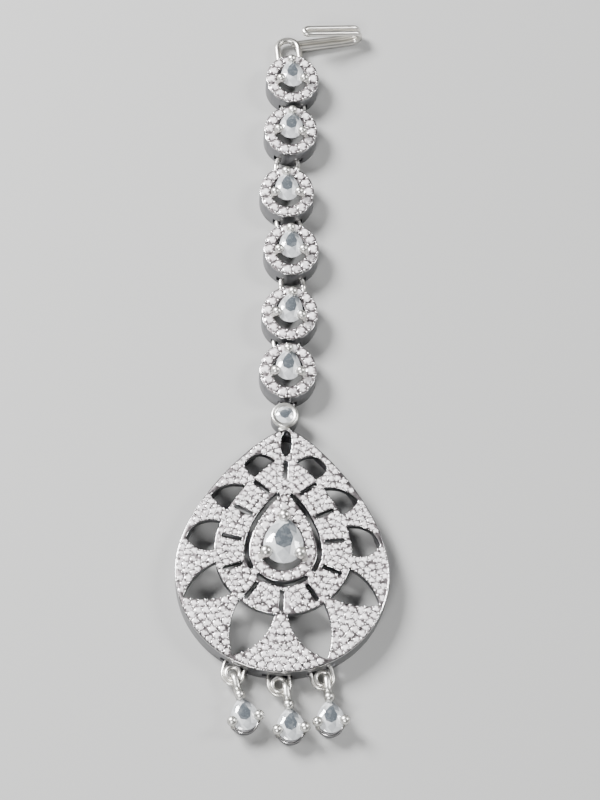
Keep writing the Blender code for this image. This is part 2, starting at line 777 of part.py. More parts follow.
def hollow_back(setting):
    """Leaves a plate and a deep rim wall, with a post for each drop's ring."""
    cut(setting, flat_solid(
        "hollow", [inset_pear(WALL_THICKNESS)], -PLATE_THICKNESS, PLATE_BOTTOM))
    for row in DROP_LAY:
        slots = post_slots(PENDANT_WIDTH / 2, DROP_RING_HEIGHT, DROP_WIRE)
        for slot in slots:
            slot.data.transform(Matrix.Rotation(math.pi + math.radians(row["seat"]), 4, "Z"))
        cut(setting, *slots)
    return setting


def bezel_cup():
    """The round cup, its neck to the pendant's tip and its loop round the lowest link's post."""
    radius = BEZEL_DIAMETER / 2
    outer = ellipse(BEZEL_DIAMETER, BEZEL_DIAMETER, BEZEL_PLACE, 20)
    bore = BEZEL_DIAMETER - 2 * BEZEL_WALL
    inner = ellipse(bore, bore, BEZEL_PLACE, 20)
    cup = flat_solid("cup", [outer], BEZEL_BOTTOM, BEZEL_TOP)
    cut(cup, flat_solid("bore", [inner], BEZEL_FLOOR, BEZEL_TOP + WALL_THICKNESS))
    neck_low = (-BEZEL_NECK_WIDTH / 2, PENDANT_RISE - WALL_THICKNESS / 2, BEZEL_BOTTOM)
    neck_high = (BEZEL_NECK_WIDTH / 2, BEZEL_PLACE - radius + BEZEL_WALL, BEZEL_NECK_HEIGHT)
    loop_gap = CHAIN_LAY[0]["clear"] * LINK_LENGTH + WALL_THICKNESS + RING_GAP
    loop_start = BEZEL_PLACE + radius - BEZEL_WALL - RING_GAP
    loop_end = BEZEL_PLACE + radius + loop_gap + BEZEL_LOOP_WIRE
    loop_width = POST_WIDTH + 2 * RING_GAP + BEZEL_LOOP_WIRE
    length = loop_end - loop_start - BEZEL_LOOP_WIRE
    loop = wire("loop", oval_path(loop_width, length), BEZEL_LOOP_WIRE, True)
    loop.data.transform(Matrix.Translation(
        (CHAIN_LAY[0]["across"] * LINK_LENGTH, (loop_start + loop_end) / 2, CHAIN_RING_HEIGHT)))
    join(cup, block("neck", neck_low, neck_high))
    cup.data.transform(Matrix.Translation((BEZEL_ACROSS, 0.0, 0.0)))
    return join(cup, loop)


def make_pendant(assembly):
    """The pendant casting with its prongs and bezel, the centre stone and the bezel stone."""
    setting = join(hollow_back(pierced_plate()), bezel_cup())
    half_stone = CENTRE_STONE_WIDTH / 2
    tip = CENTRE_STONE_PLACE + CENTRE_STONE_LENGTH - half_stone
    drop = CAST_TOP - PLATE_THICKNESS / 2 - CENTRE_BALL_HEIGHT
    side_ball = Vector((
        CENTRE_BALL_ACROSS, CENTRE_STONE_PLACE + CENTRE_BALL_ALONG, CENTRE_BALL_HEIGHT))
    side_foot = side_ball + Vector((CENTRE_BALL_RADIUS, -CENTRE_BALL_RADIUS / 2, drop))
    tip_ball = Vector((0.0, tip - CENTRE_BALL_RADIUS / 2, CENTRE_BALL_HEIGHT))
    tip_foot = tip_ball + Vector((0.0, 1.4 * CENTRE_BALL_RADIUS, drop))
    radius = CENTRE_BALL_RADIUS * 0.6
    prongs = [stem("stem", tip_foot, tip_ball, radius, radius)]
    prongs.append(ball("ball", tip_ball, CENTRE_BALL_RADIUS))
    for side in (-1, 1):
        flip = Vector((side, 1.0, 1.0))
        prongs.append(stem("stem", side_foot * flip, side_ball * flip, radius, radius))
        prongs.append(ball("ball", side_ball * flip, CENTRE_BALL_RADIUS))
    join(setting, *prongs)
    seat = pear_stone("seat", CENTRE_STONE_WIDTH, CENTRE_STONE_LENGTH, SEAT_GAP)
    seat.data.transform(Matrix.Translation((0.0, CENTRE_STONE_PLACE, CENTRE_STONE_GIRDLE)))
    cut(setting, seat)
    assembly.add("pendant_setting", setting, "rhodium_cast", Matrix.Identity(4))
    stone = pear_stone("stone", CENTRE_STONE_WIDTH, CENTRE_STONE_LENGTH)
    assembly.add("centre_stone", stone, "clear_stone",
                 Matrix.Translation((0.0, CENTRE_STONE_PLACE, CENTRE_STONE_GIRDLE)))
    stone = round_stone("stone", BEZEL_STONE_DIAMETER)
    assembly.add("bezel_stone", stone, "clear_stone",
                 Matrix.Translation((BEZEL_ACROSS, BEZEL_PLACE, BEZEL_STONE_GIRDLE)))


# Drops, each modelled hanging toward -Y from the middle of its bail

DROP_HEAD = BAIL_SHIFT + BAIL_LENGTH / 2 + DROP_NECK
DROP_TIP = DROP_HEAD + DROP_HEAD_PLACE


def drop_setting_mesh():
    """A drop's base ring, bail and three ball prongs as one solid."""
    half = DROP_STONE_WIDTH / 2
    middle = -(DROP_TIP + DROP_STONE_LENGTH - half)
    rise = -DROP_HEAD - middle
    outer = half_pear(DROP_STONE_WIDTH, half, rise, middle,
                      shoulder=STONE_SHOULDER, tip=STONE_TIP, tip_up=STONE_TIP_UP, steps=8)
    slim = DROP_STONE_WIDTH - 2 * DROP_BASE_WALL
    inner = half_pear(slim, slim / 2, rise - 3 * DROP_BASE_WALL, middle,
                      shoulder=STONE_SHOULDER, tip=STONE_TIP, tip_up=STONE_TIP_UP, steps=6)
    setting = flat_solid("base", [whole_pear(outer), whole_pear(inner)], 0.0, DROP_BASE_HEIGHT)
    path = oval_path(BAIL_HEIGHT - BAIL_WIRE, BAIL_LENGTH - BAIL_WIRE)
    bail = wire("bail", path, BAIL_WIRE, True)
    upright = Matrix.Rotation(math.pi / 2, 4, "Y")
    bail_place = Matrix.Translation((0.0, -BAIL_SHIFT, DROP_RING_HEIGHT))
    bail.data.transform(bail_place @ upright)
    head_foot = Vector((0.0, -DROP_HEAD, DROP_BASE_HEIGHT / 4))
    head_ball = Vector((0.0, -DROP_HEAD, DROP_BALL_HEIGHT))
    side_ball = Vector((DROP_BALL_ACROSS, -(DROP_TIP + DROP_BALL_PLACE), DROP_BALL_HEIGHT))
    side_foot = Vector((half - STEM_RADIUS / 2, side_ball.y, DROP_BASE_HEIGHT / 4))
    prongs = [stem("stem", head_foot, head_ball, BAIL_WIRE * 0.7, STEM_RADIUS)]
    prongs.append(ball("ball", head_ball, DROP_BALL_RADIUS))
    for side in (-1, 1):
        flip = Vector((side, 1.0, 1.0))
        prongs.append(stem("stem", side_foot * flip, side_ball * flip, STEM_RADIUS, STEM_RADIUS))
        prongs.append(ball("ball", side_ball * flip, DROP_BALL_RADIUS))
    join(setting, bail, *prongs)
    seat = pear_stone("seat", DROP_STONE_WIDTH, DROP_STONE_LENGTH, SEAT_GAP)
    seat.data.transform(Matrix.Translation((0.0, middle, DROP_STONE_GIRDLE)))
    cut(setting, seat)
    return take_mesh(setting, "drop_setting")


def drop_stone_mesh():
    """A drop's pear stone in the drop's own place."""
    middle = -(DROP_TIP + DROP_STONE_LENGTH - DROP_STONE_WIDTH / 2)
    stone = pear_stone("stone", DROP_STONE_WIDTH, DROP_STONE_LENGTH)
    stone.data.transform(Matrix.Translation((0.0, middle, DROP_STONE_GIRDLE)))
    return take_mesh(stone, "drop_stone")


def make_drops(assembly):
    """Three drops: a flat ring round a post of the pendant's wall, a setting and a stone."""
    setting_mesh = drop_setting_mesh()
    stone_mesh = drop_stone_mesh()
    reach = WALL_THICKNESS / 2 + RING_GAP + DROP_WIRE / 2
    middle_length = DROP_RING_LENGTH - DROP_WIRE
    for row in DROP_LAY:
        seat = Matrix.Rotation(math.radians(row["seat"]), 4, "Z")
        post = seat @ Vector((0.0, -RIM_POST_PLACE + reach, 0.0))
        swing = Matrix.Rotation(math.radians(row["ring"]), 4, "Z")
        foot = post + swing @ Vector((0.0, -middle_length, 0.0))
        ring = jump_ring("ring", foot, post, DROP_RING_WIDTH, DROP_RING_LENGTH,
                         DROP_RING_HEIGHT, DROP_WIRE)
        assembly.add("drop_ring_" + row["name"], ring, "rhodium_wire", ring.matrix_world.copy())
        radius = (DROP_RING_WIDTH - DROP_WIRE) / 2
        slide = row["slide"] * DROP_RING_WIDTH
        fall = row["fall"] * DROP_RING_WIDTH
        round_up = radius - math.sqrt(radius ** 2 - slide ** 2)
        bail = foot + swing @ Vector((slide, round_up - fall, 0.0))
        place = Matrix.Translation(bail) @ Matrix.Rotation(math.radians(row["stone"]), 4, "Z")
        assembly.add("drop_setting_" + row["name"], new_object("setting", setting_mesh),
                     "rhodium_cast", place)
        assembly.add("drop_stone_" + row["name"], new_object("stone", stone_mesh),
                     "clear_stone", place)


# Assembly

class Assembly:
    """Names, finishes and places the pieces under one empty."""

    def __init__(self, name):
        self.collection = bpy.data.collections.new(name)
        bpy.context.scene.collection.children.link(self.collection)
        self.root = bpy.data.objects.new(name, None)
        self.collection.objects.link(self.root)
        self.pieces = []

    def add(self, name, item, finish_name, place):
        """Takes a finished body into the assembly."""
        item.name = name
        item.data.name = item.data.name if item.data.users > 1 else name
        item.data.materials.clear()
        item.data.materials.append(finish(finish_name))
        for holder in list(item.users_collection):
            holder.objects.unlink(item)
        self.collection.objects.link(item)
        item.matrix_world = place
        item.parent = self.root
        self.pieces.append(item)

    def centre(self):
        """Moves the whole so that the origin is under the middle of its box."""
        bpy.context.view_layer.update()
        corners = [item.matrix_world @ vertex.co
                   for item in self.pieces for vertex in item.data.vertices]
        low = [min(corner[axis] for corner in corners) for axis in range(3)]
        high = [max(corner[axis] for corner in corners) for axis in range(3)]
        self.root.location = (-(low[0] + high[0]) / 2, -(low[1] + high[1]) / 2, -low[2])
        bpy.context.view_layer.update()


def shade_wires(assembly):
    """Rounds the look of the wire pieces and keeps their edges sharp elsewhere."""
    for item in assembly.pieces:
        if item.data.materials[0].name == "rhodium_wire":
            item.data.shade_smooth()
            item.data.set_sharp_from_angle(angle=math.radians(50))


def clear_scene():
    """Removes what the new file came with."""
    for item in list(bpy.data.objects):
        bpy.data.objects.remove(item)


def main():
    """Builds every piece and puts the whole on its origin."""
    clear_scene()
    assembly = Assembly("maang_tikka")
    make_pendant(assembly)
    top_post = make_links(assembly)
    make_hook(assembly, top_post)
    make_drops(assembly)
    shade_wires(assembly)
    assembly.centre()


main()
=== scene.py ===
"""The look of a maang tikka, a forehead jewel that lies face up on a pale floor.

Every new piece is a surface worked out with arrays from the jewel's own sizes, in metres, in the
frame of the solid model: +Y from the drops to the hook, +Z up out of the stones' faces.
"""
import math

import bmesh
import bpy
import numpy as np
from mathutils import Matrix, Vector
from mathutils.geometry import delaunay_2d_cdt


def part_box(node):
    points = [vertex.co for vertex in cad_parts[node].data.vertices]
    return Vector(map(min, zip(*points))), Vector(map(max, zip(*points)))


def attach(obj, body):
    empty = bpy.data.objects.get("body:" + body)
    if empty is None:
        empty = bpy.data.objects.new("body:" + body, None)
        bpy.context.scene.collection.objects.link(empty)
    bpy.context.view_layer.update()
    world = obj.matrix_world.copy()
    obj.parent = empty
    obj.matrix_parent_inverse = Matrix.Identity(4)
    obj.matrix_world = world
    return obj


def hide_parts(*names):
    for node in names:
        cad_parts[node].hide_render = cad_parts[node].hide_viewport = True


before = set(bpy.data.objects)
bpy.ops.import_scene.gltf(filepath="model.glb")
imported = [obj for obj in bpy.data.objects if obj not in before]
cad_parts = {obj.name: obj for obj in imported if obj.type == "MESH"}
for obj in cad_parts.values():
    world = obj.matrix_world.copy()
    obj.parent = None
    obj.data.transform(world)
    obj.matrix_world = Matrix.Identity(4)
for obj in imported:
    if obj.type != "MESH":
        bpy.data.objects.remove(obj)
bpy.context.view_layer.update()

MM = 0.001

# Directions, the degrees past which an edge stays crisp, the distance under which points are
# welded, and how far up a plate's face has to look to be its level top or its slanting edge
UP = (0.0, 0.0, 1.0)
MIRROR = np.array([-1.0, 1.0])
GOLDEN_ANGLE = math.pi * (3.0 - math.sqrt(5.0))
CRISP_ANGLE = 50.0
WELD = 0.0005 * MM
LEVEL = 0.95
SLANTING = 0.15

# Gaps and heights of the cast metal
RING_GAP = 0.3 * MM
CAST_TOP = 3.4 * MM
PLATE_THICKNESS = 1.1 * MM
WALL_THICKNESS = 0.6 * MM
POST_WIDTH = 0.8 * MM
SLOT_NEAR = 1.15 * MM
SLOT_REACH = 2.45 * MM
SLOT_CLEAR = 0.17 * MM
SLOT_DEPTH = 1.9 * MM
DROP_SLOT_NEAR = 0.75 * MM
DROP_SLOT_FAR = 2.2 * MM
EDGE = 0.08 * MM

# Halo links
LINK_WIDTH = 9.1 * MM
LINK_LENGTH = 10.0 * MM
LINK_OPENING_WIDTH = 0.57 * LINK_WIDTH
LINK_OPENING_DROP = 0.29 * LINK_LENGTH
LINK_OPENING_RISE = 0.32 * LINK_LENGTH
HALO_BAND = 0.2 * LINK_LENGTH
HALO_STONES = 14
LINK_POINTS = 12 * HALO_STONES
HALO_STONE_DIAMETER = 1.5 * MM
HALO_STONE_LEAN = 0.06
LINK_STONE_WIDTH = 0.77 * LINK_OPENING_WIDTH
LINK_STONE_LENGTH = 0.982 * (LINK_OPENING_DROP + LINK_OPENING_RISE)
LINK_STONE_GIRDLE = 3.85 * MM
LINK_BALL_RADIUS = 0.78 * MM
LINK_BALL_HEIGHT = 4.5 * MM
LINK_BALL_ACROSS = 0.5 * LINK_STONE_WIDTH
LINK_BALL_ALONG = -0.175 * LINK_STONE_WIDTH
LINK_TIP_LEAN = 0.75 * LINK_BALL_RADIUS
STEM_RADIUS = 0.36 * MM
SCALLOP = 0.2 * MM
BEAD_RADIUS = 0.26 * MM
BEAD_INSET = 0.3 * MM
BEAD_SPREAD = 0.27 * MM
BEAD_RINGS = [-40.0, 5.0, 50.0]
CHAIN_WIRE = 0.7 * MM
CHAIN_LOOK_WIRE = 0.82 * MM
SOLDER_SWELL = 0.3
SOLDER_LENGTH = 0.32 * MM
CHAIN_RING_WIDTH = 4.3 * MM
CHAIN_RING_HEIGHT = 1.15 * MM

# How the links lie, from the pendant up: clear length below and sideways place as shares of
# a link's length, and turn in degrees
CHAIN_LAY = [
    {"name": "link_6", "clear": 0.09, "across": -0.01, "turn": 1.0},
    {"name": "link_5", "clear": 0.05, "across": -0.01, "turn": -6.0},
    {"name": "link_4", "clear": 0.22, "across": -0.02, "turn": 3.0},
    {"name": "link_3", "clear": 0.12, "across": -0.12, "turn": 4.0},
    {"name": "link_2", "clear": 0.26, "across": -0.09, "turn": -3.0},
    {"name": "link_1", "clear": 0.09, "across": -0.09, "turn": 4.0},
]

# Hook, whose doubled wire starts at a share of the eye's length. Its line is softened in
# rounds, and the blend says how soon its cross direction turns upward toward the free bend
HOOK_WIRE = 1.0 * MM
HOOK_EYE_WIRE = 1.1 * MM
HOOK_EYE_WIDTH = 4.8 * MM
HOOK_EYE_LENGTH = 7.6 * MM
HOOK_EYE_LEAN = 7.0
HOOK_RUN = 9.8 * MM
HOOK_TURN = 15.5
HOOK_SPACING = 1.2 * MM
HOOK_BEND_DIAMETER = 2.4 * MM
HOOK_FREE_RISE = 1.9 * MM
HOOK_FREE_END = 0.9 * MM
HOOK_JOIN = 0.8
HOOK_POINTS = 260
HOOK_SOFT_ROUNDS = 6
HOOK_BLEND = 3.2
BEND_POINTS = 25

# Pendant teardrop, measured from the middle of its round lower end
PENDANT_WIDTH = 32.2 * MM
PENDANT_RISE = 0.736 * PENDANT_WIDTH
RIM_INSET = 0.02 * PENDANT_WIDTH
TIP_INSET = 0.04 * PENDANT_WIDTH
RING_WIDTH = 0.646 * PENDANT_WIDTH
RING_RISE = 0.745 * RING_WIDTH
RING_CENTRE = 0.159 * RING_WIDTH
ARC_WIDTH = 0.53 * RING_WIDTH
ARC_DROP = 0.48 * ARC_WIDTH
ARC_RISE = 0.91 * ARC_WIDTH
ARC_CENTRE = 0.92 * RING_CENTRE
ARC_GAP = 0.8 * MM
SPOKE_WIDTH = (RING_WIDTH + ARC_WIDTH) / 2
SPOKE_RISE = 0.36 * ARC_RISE + 0.64 * RING_RISE
SPOKE_CENTRE = (RING_CENTRE + ARC_CENTRE) / 2
SPOKE_COUNT = 12
SPOKE_LENGTH = 0.285 * (RING_WIDTH - ARC_WIDTH)
SPOKE_GAP = 0.7 * MM
LEAF_WIDTH = 1.7 * MM
LEAF_LENGTH = 0.19 * PENDANT_RISE
LEAF_CENTRE = 0.895 * PENDANT_RISE
OPENING_WIDTH = 0.58 * ARC_WIDTH
OPENING_DROP = 0.48 * OPENING_WIDTH
OPENING_RISE = 0.89 * OPENING_WIDTH
OPENING_CENTRE = ARC_CENTRE
CENTRE_STONE_WIDTH = 0.94 * OPENING_WIDTH
CENTRE_STONE_LENGTH = 1.33 * CENTRE_STONE_WIDTH
CENTRE_STONE_PLACE = OPENING_CENTRE + 0.13 * OPENING_WIDTH
CENTRE_STONE_GIRDLE = 3.9 * MM
CENTRE_BALL_RADIUS = 0.94 * MM
CENTRE_BALL_HEIGHT = 4.7 * MM
CENTRE_BALL_ACROSS = 0.43 * CENTRE_STONE_WIDTH
CENTRE_BALL_ALONG = -0.25 * CENTRE_STONE_WIDTH
CENTRE_STEM_RADIUS = 0.6 * CENTRE_BALL_RADIUS
CENTRE_TIP_REACH = 0.9 * CENTRE_BALL_RADIUS

# Petal windows of one half: shares of the ring's and the rim's half length from the tip,
# and how far each side edge bulges, as a share of its own chord
PETAL_WINDOWS = [
    {"ring_from": 0.050, "ring_to": 0.166, "rim_at": 0.169, "upper": 0.32, "lower": 0.12},
    {"ring_from": 0.220, "ring_to": 0.362, "rim_at": 0.302, "upper": 0.15, "lower": 0.10},
    {"ring_from": 0.420, "ring_to": 0.558, "rim_at": 0.451, "upper": 0.21, "lower": 0.18},
    {"ring_from": 0.615, "ring_to": 0.774, "rim_at": 0.637, "upper": 0.11, "lower": 0.09},
    {"ring_from": 0.810, "ring_to": 0.975, "rim_at": 0.863, "upper": 0.10, "lower": 0.15},
]
ARC_SIDE_FROM = 0.06
ARC_SIDE_TO = 0.73
ARC_FOOT_FROM = 0.81

# Pave field
PAVE_LARGE = 1.2 * MM
PAVE_MIDDLE = 1.02 * MM
PAVE_NARROW = 0.86 * MM
PAVE_SMALL = 0.7 * MM
PAVE_LEAN = 0.05
PAVE_SPIN = 1.7
PAVE_GAP = 0.05 * MM
PAVE_LAP = 0.05 * MM
PAVE_SQUEEZE = 0.24 * MM
PAVE_EDGE_GAP = 0.07 * MM
PAVE_LARGE_BELOW = -1.0 * MM
PAVE_BEAD_RADIUS = 0.19 * MM
PAVE_BEAD_LEAST = 0.8 * PAVE_BEAD_RADIUS
PAVE_BEAD_MOST = 1.6 * PAVE_BEAD_RADIUS
PAVE_BEAD_PITCH = 1.5 * PAVE_BEAD_RADIUS
PAVE_BEAD_LAP = 0.09 * MM
PAVE_BEAD_PROUD = 0.03 * MM
HOLLOW_SPAN = 2.0 * PAVE_MIDDLE
PAIR_SPAN = 1.5 * PAVE_MIDDLE
BORDER_SPAN = 0.85 * PAVE_MIDDLE
BORDER_BEAD_INSET = 0.16 * MM
HALO_BEAD_REACH = 0.52 * MM
PAVE_RIM_INSET = 0.12 * MM
STONE_PROUD = 0.04 * MM
RIM_LIP_WIDTH = 0.22 * MM
RIM_LIP_RISE = 0.03 * MM
PLATE_LAP = 0.12 * MM
INNER_HALO_DIAMETER = 1.35 * MM
RIM_POINTS = 420
BORDER_PITCH = 0.22 * MM

# How the field is packed: the grids that offer more stones, how far a grid reaches, and in each
# round the shares of a lack and of a spare gap that are made up
SQUEEZE_GRIDS = (0.35 * MM, 0.25 * MM, 0.2 * MM)
FILLER_GRID = 0.17 * MM
GRID_HALF = 0.52
GRID_BELOW = 1.16
GRID_ABOVE = 1.8
SETTLE_ROUNDS = 60
PUSH_SHARE = 0.45
PULL_SHARE = 0.2
PULL_REACH = 0.45

# Bezel above the pendant
BEZEL_ACROSS = -0.4 * MM
BEZEL_DIAMETER = 4.25 * MM
BEZEL_TOP = 3.6 * MM
BEZEL_BOTTOM = 0.8 * MM
BEZEL_WALL = 0.4 * MM
BEZEL_FLOOR = 1.4 * MM
BEZEL_LIP_DEPTH = 0.55 * MM
BEZEL_LIP_LAND = 0.68 * MM
COLLAR_LENGTH = 1.9 * MM
COLLAR_RADIUS = 0.36 * MM
COLLAR_HEIGHT = 2.9 * MM
COLLAR_POINTS = 13
COLLAR_END = 0.98
BEZEL_CLEAR = 0.4 * MM
BEZEL_NECK_WIDTH = 1.6 * MM
BEZEL_NECK_HEIGHT = 2.4 * MM
BEZEL_STONE_DIAMETER = 3.2 * MM
BEZEL_STONE_GIRDLE = 3.2 * MM
BEZEL_LOOP_WIRE = 0.65 * MM
BEZEL_SLOT_HALF = 0.75 * BEZEL_LOOP_WIRE
BEZEL_PLACE = PENDANT_RISE + BEZEL_CLEAR + BEZEL_DIAMETER / 2

# Drops: place of each on the rim, swing of its ring and of its stone in degrees from straight
# down, and how far its bail lies to the side of the ring's end and below it, as shares of
# the ring's width
DROP_LAY = [
    {"name": "left", "seat": -25.0, "ring": -11.0, "slide": 0.24, "fall": 0.12, "stone": 16.0},
    {"name": "centre", "seat": -1.0, "ring": 8.0, "slide": 0.24, "fall": 0.11, "stone": 8.0},
    {"name": "right", "seat": 23.0, "ring": 15.0, "slide": 0.09, "fall": 0.0, "stone": 6.0},
]
DROP_WIRE = 0.7 * MM
DROP_RING_WIDTH = 3.7 * MM
DROP_RING_LENGTH = 4.7 * MM
DROP_RING_HEIGHT = 1.4 * MM
BAIL_SHIFT = -0.2 * MM
BAIL_LENGTH = 3.6 * MM
BAIL_HEIGHT = 2.7 * MM
BAIL_WIRE = 0.7 * MM
BAIL_BROADER = 1.4
DROP_STONE_WIDTH = 4.0 * MM
DROP_STONE_LENGTH = 5.1 * MM
DROP_STONE_GIRDLE = 2.35 * MM
DROP_BALL_RADIUS = 0.76 * MM
DROP_BALL_HEIGHT = 3.05 * MM
DROP_BALL_PLACE = 3.5 * MM
DROP_HEAD_BALL = 0.35 * MM
DROP_BALL_ACROSS = 2.0 * MM
DROP_NECK = 0.1 * MM
DROP_HEAD_PLACE = 0.45 * MM
DROP_BASE_HEIGHT = 0.8 * MM
DROP_BASE_WALL = 0.7 * MM
DROP_OUTER_WIRE = 0.56 * MM
DROP_COIL_RADIUS = 0.6 * DROP_OUTER_WIRE
DROP_HEAD = BAIL_SHIFT + BAIL_LENGTH / 2 + DROP_NECK
DROP_TIP = DROP_HEAD + DROP_HEAD_PLACE

# Shape shares of the teardrops: control points of the side curve
METAL_PEAR = {"shoulder": 0.46, "tip": 0.20, "tip_up": 1.0}
STONE_PEAR = {"shoulder": 0.50, "tip": 0.30, "tip_up": 0.80}

# Cuts of the large stones as shares of the width, and where their facets' corners lie on the
# way from the keel to the outline
PEAR_CUT = {"crown": 0.15, "girdle": 0.03, "depth": 0.33}
ROUND_CUT = {"crown": 0.15, "girdle": 0.04, "depth": 0.4}
PEAR_KEEL = 0.55
TABLE_SHARE = 0.49
KITE_SHARE = 0.76
LOW_SHARE = 0.30

# Small stones as shares of the radius
SMALL_TABLE = 0.58
SMALL_CROWN = 0.17
SMALL_TAPER = 0.96
SMALL_SKIRT = 0.4

# Painted reflection and shade on the stones' facets: tone of each kind of facet, from the table
# down,
# how far it varies from facet to facet as painted glints, and how much darker the large stones are
# painted toward the tip
STONE_PAINTED_TONES = [0.20, 0.58, 0.68, 0.75, 0.75, 0.6, 0.7, 0.8, 0.6]
STONE_GLINT_SPREAD = 0.9
STONE_SHADE_SLOPE = 0.45
SMALL_PAINTED_TONES = [0.85, 0.55, 0.35, 0.0, 0.0]
SMALL_GLINT_SPREAD = [0.5, 1.4, 1.1, 0.0, 0.0]

# Camera fitted to the photograph, degrees and metres, lens for a 36 mm sensor
CAMERA_AZIMUTH = -4.22
CAMERA_PITCH = 61.93
CAMERA_ROLL = -6.35
CAMERA_PLACE = (-8.37 * MM, -149.88 * MM, 265.57 * MM)
CAMERA_LENS = 85.12
CAMERA_SENSOR = 36.0
CAMERA_NEAR = 0.01

# Studio, in metres and watts
FLOOR_REACH = 1.5
FLOOR_DARK = (0.33, 0.33, 0.327, 1.0)
FLOOR_LIGHT = (0.35, 0.35, 0.346, 1.0)
FLOOR_ROUGHNESS = 0.75
SKY_COLOR = (0.80, 0.82, 0.85, 1.0)
SKY_STRENGTH = 0.10
LAMPS = [
    {"name": "key", "place": (-0.42, 0.28, 0.42), "side": 0.24, "power": 16.5},
    {"name": "fill", "place": (0.45, 0.10, 0.42), "side": 0.20, "power": 3.0},
    {"name": "front", "place": (-0.20, -0.48, 0.46), "side": 0.20, "power": 4.0},
]


# Lines

def unit(rows):
    """Each row divided by its length."""
    return rows / np.linalg.norm(rows, axis=-1, keepdims=True)


def left_of(steps):
    """Flat steps turned a quarter to the left."""
    return np.stack([-steps[..., 1], steps[..., 0]], axis=-1)


def each(value, count):
    """One value for each of a count, from one for all or one each."""
    return np.broadcast_to(np.asarray(value, dtype=float), (count,))


def cubic(t, start, first, second, end):
    """Points of the cubic curve with these four control points."""
    return ((1 - t) ** 3 * start + 3 * (1 - t) ** 2 * t * first
            + 3 * (1 - t) * t ** 2 * second + t ** 3 * end)


def pear(width, drop, rise, centre=0.0, shape=METAL_PEAR, steps=40):
    """Right half of a teardrop from its tip to its foot, as rows of x and y.

    The side is a cubic curve whose control points are the tip, a point level with it or below,
    a point straight above the widest place, and the widest place. The foot is a quarter ellipse.
    """
    half = width / 2
    t = np.linspace(0.0, 1.0, steps + 1)[:, None]
    tip = np.array([0.0, rise])
    first = np.array([shape["tip"] * half, shape["tip_up"] * rise])
    second = np.array([half, shape["shoulder"] * rise])
    side = cubic(t, tip, first, second, np.array([half, 0.0]))
    angle = np.linspace(0.0, math.pi / 2, steps + 1)[1:]
    foot = np.stack([half * np.cos(angle), -drop * np.sin(angle)], axis=1)
    foot[-1, 0] = 0.0
    return np.vstack([side, foot]) + np.array([0.0, centre])


def mirrored(line):
    """The same line on the other side of the axis, in the reverse order."""
    return line[::-1] * MIRROR


def closed_pear(half):
    """A closed outline from a half that runs from the tip to the foot."""
    return np.vstack([half, mirrored(half)[1:-1]])


def circle(count):
    """Points evenly round a circle of radius 1, the first on +X."""
    angle = np.linspace(0.0, 2 * math.pi, count, endpoint=False)
    return np.stack([np.cos(angle), np.sin(angle)], axis=1)


def ellipse(width, length, centre=0.0, count=96):
    """Points round an ellipse: half its width times cosine, half its length times sine."""
    return circle(count) * [width / 2, length / 2] + [0.0, centre]


def run_length(line):
    """Distance along a line at each of its points."""
    steps = np.linalg.norm(np.diff(line, axis=0), axis=1)
    return np.concatenate([[0.0], np.cumsum(steps)])


def loop_length(loop):
    """Length of a closed line."""
    return run_length(np.vstack([loop, loop[:1]]))[-1]


def along(line, shares):
    """Points of a line at shares of its length, by linear interpolation of arc length."""
    length = run_length(line)
    wanted = np.asarray(shares) * length[-1]
    return np.stack([np.interp(wanted, length, line[:, axis]) for axis in range(line.shape[1])],
                    axis=1)


def evened(line, count, closed=True):
    """The same line with evenly spaced points."""
    if closed:
        loop = np.vstack([line, line[:1]])
        return along(loop, np.arange(count) / count)
    return along(line, np.linspace(0.0, 1.0, count))


def outward(loop):
    """Unit normals of a closed flat line that point away from its inside."""
    step = np.roll(loop, -1, axis=0) - np.roll(loop, 1, axis=0)
    normal = unit(-left_of(step))
    area = np.sum(loop[:, 0] * np.roll(loop[:, 1], -1) - np.roll(loop[:, 0], -1) * loop[:, 1])
    return normal if area > 0 else -normal


def bulged(start, end, bulge, steps=14):
    """An edge from start to end that bows to its left by a share of its chord."""
    chord = end - start
    knee = (start + end) / 2 + 2 * bulge * left_of(chord)
    first = start + (knee - start) * 2 / 3
    second = end + (knee - end) * 2 / 3
    return cubic(np.linspace(0.0, 1.0, steps + 1)[1:, None], start, first, second, end)


def strip(line, gap):
    """A closed strip of one width along an open flat line, with low round ends."""
    step = unit(np.gradient(line, axis=0))
    normal = left_of(step)
    half = gap / 2
    turn = np.linspace(0.0, math.pi, 7)[1:-1, None]
    far = line[-1] + half * (np.cos(turn) * normal[-1] + 0.5 * np.sin(turn) * step[-1])
    near = line[0] - half * (np.cos(turn) * normal[0] + 0.5 * np.sin(turn) * step[0])
    return np.vstack([line + normal * half, far, (line - normal * half)[::-1], near])


def spot(line, share):
    """Place at a share of an open flat line's length, and the unit normal to its left."""
    before, place, after = along(line, [max(share - 0.002, 0.0), share, min(share + 0.002, 1.0)])
    return place, left_of(unit(after - before))


def polar_radius(loop, angle):
    """Distance from the origin to a closed line in each direction, by linear interpolation."""
    direction = np.arctan2(loop[:, 1], loop[:, 0])
    return np.interp(angle, direction, np.hypot(loop[:, 0], loop[:, 1]), period=2 * math.pi)


def inside(points, loop):
    """Whether each point lies in a closed flat line: an odd number of crossings to its right."""
    ahead = np.roll(loop, -1, axis=0)
    rise = np.where(ahead[:, 1] == loop[:, 1], 1.0, ahead[:, 1] - loop[:, 1])
    y = points[:, 1, None]
    crosses = (loop[None, :, 1] > y) != (ahead[None, :, 1] > y)
    x = loop[None, :, 0] + (y - loop[None, :, 1]) * ((ahead[:, 0] - loop[:, 0]) / rise)[None]
    return np.sum(crosses & (points[:, 0, None] < x), axis=1) % 2 == 1


def oval(width, length, steps=24):
    """A closed racetrack in x and y: two half circles joined by straight sides."""
    radius = width / 2
    straight = length / 2 - radius
    angle = np.linspace(0.0, math.pi, steps + 1)
    end = np.stack([radius * np.cos(angle), straight + radius * np.sin(angle)], axis=1)
    return np.vstack([end, -end])


def lifted(line, height):
    """A flat line as points at one height."""
    return np.column_stack([line, np.full(len(line), height)])


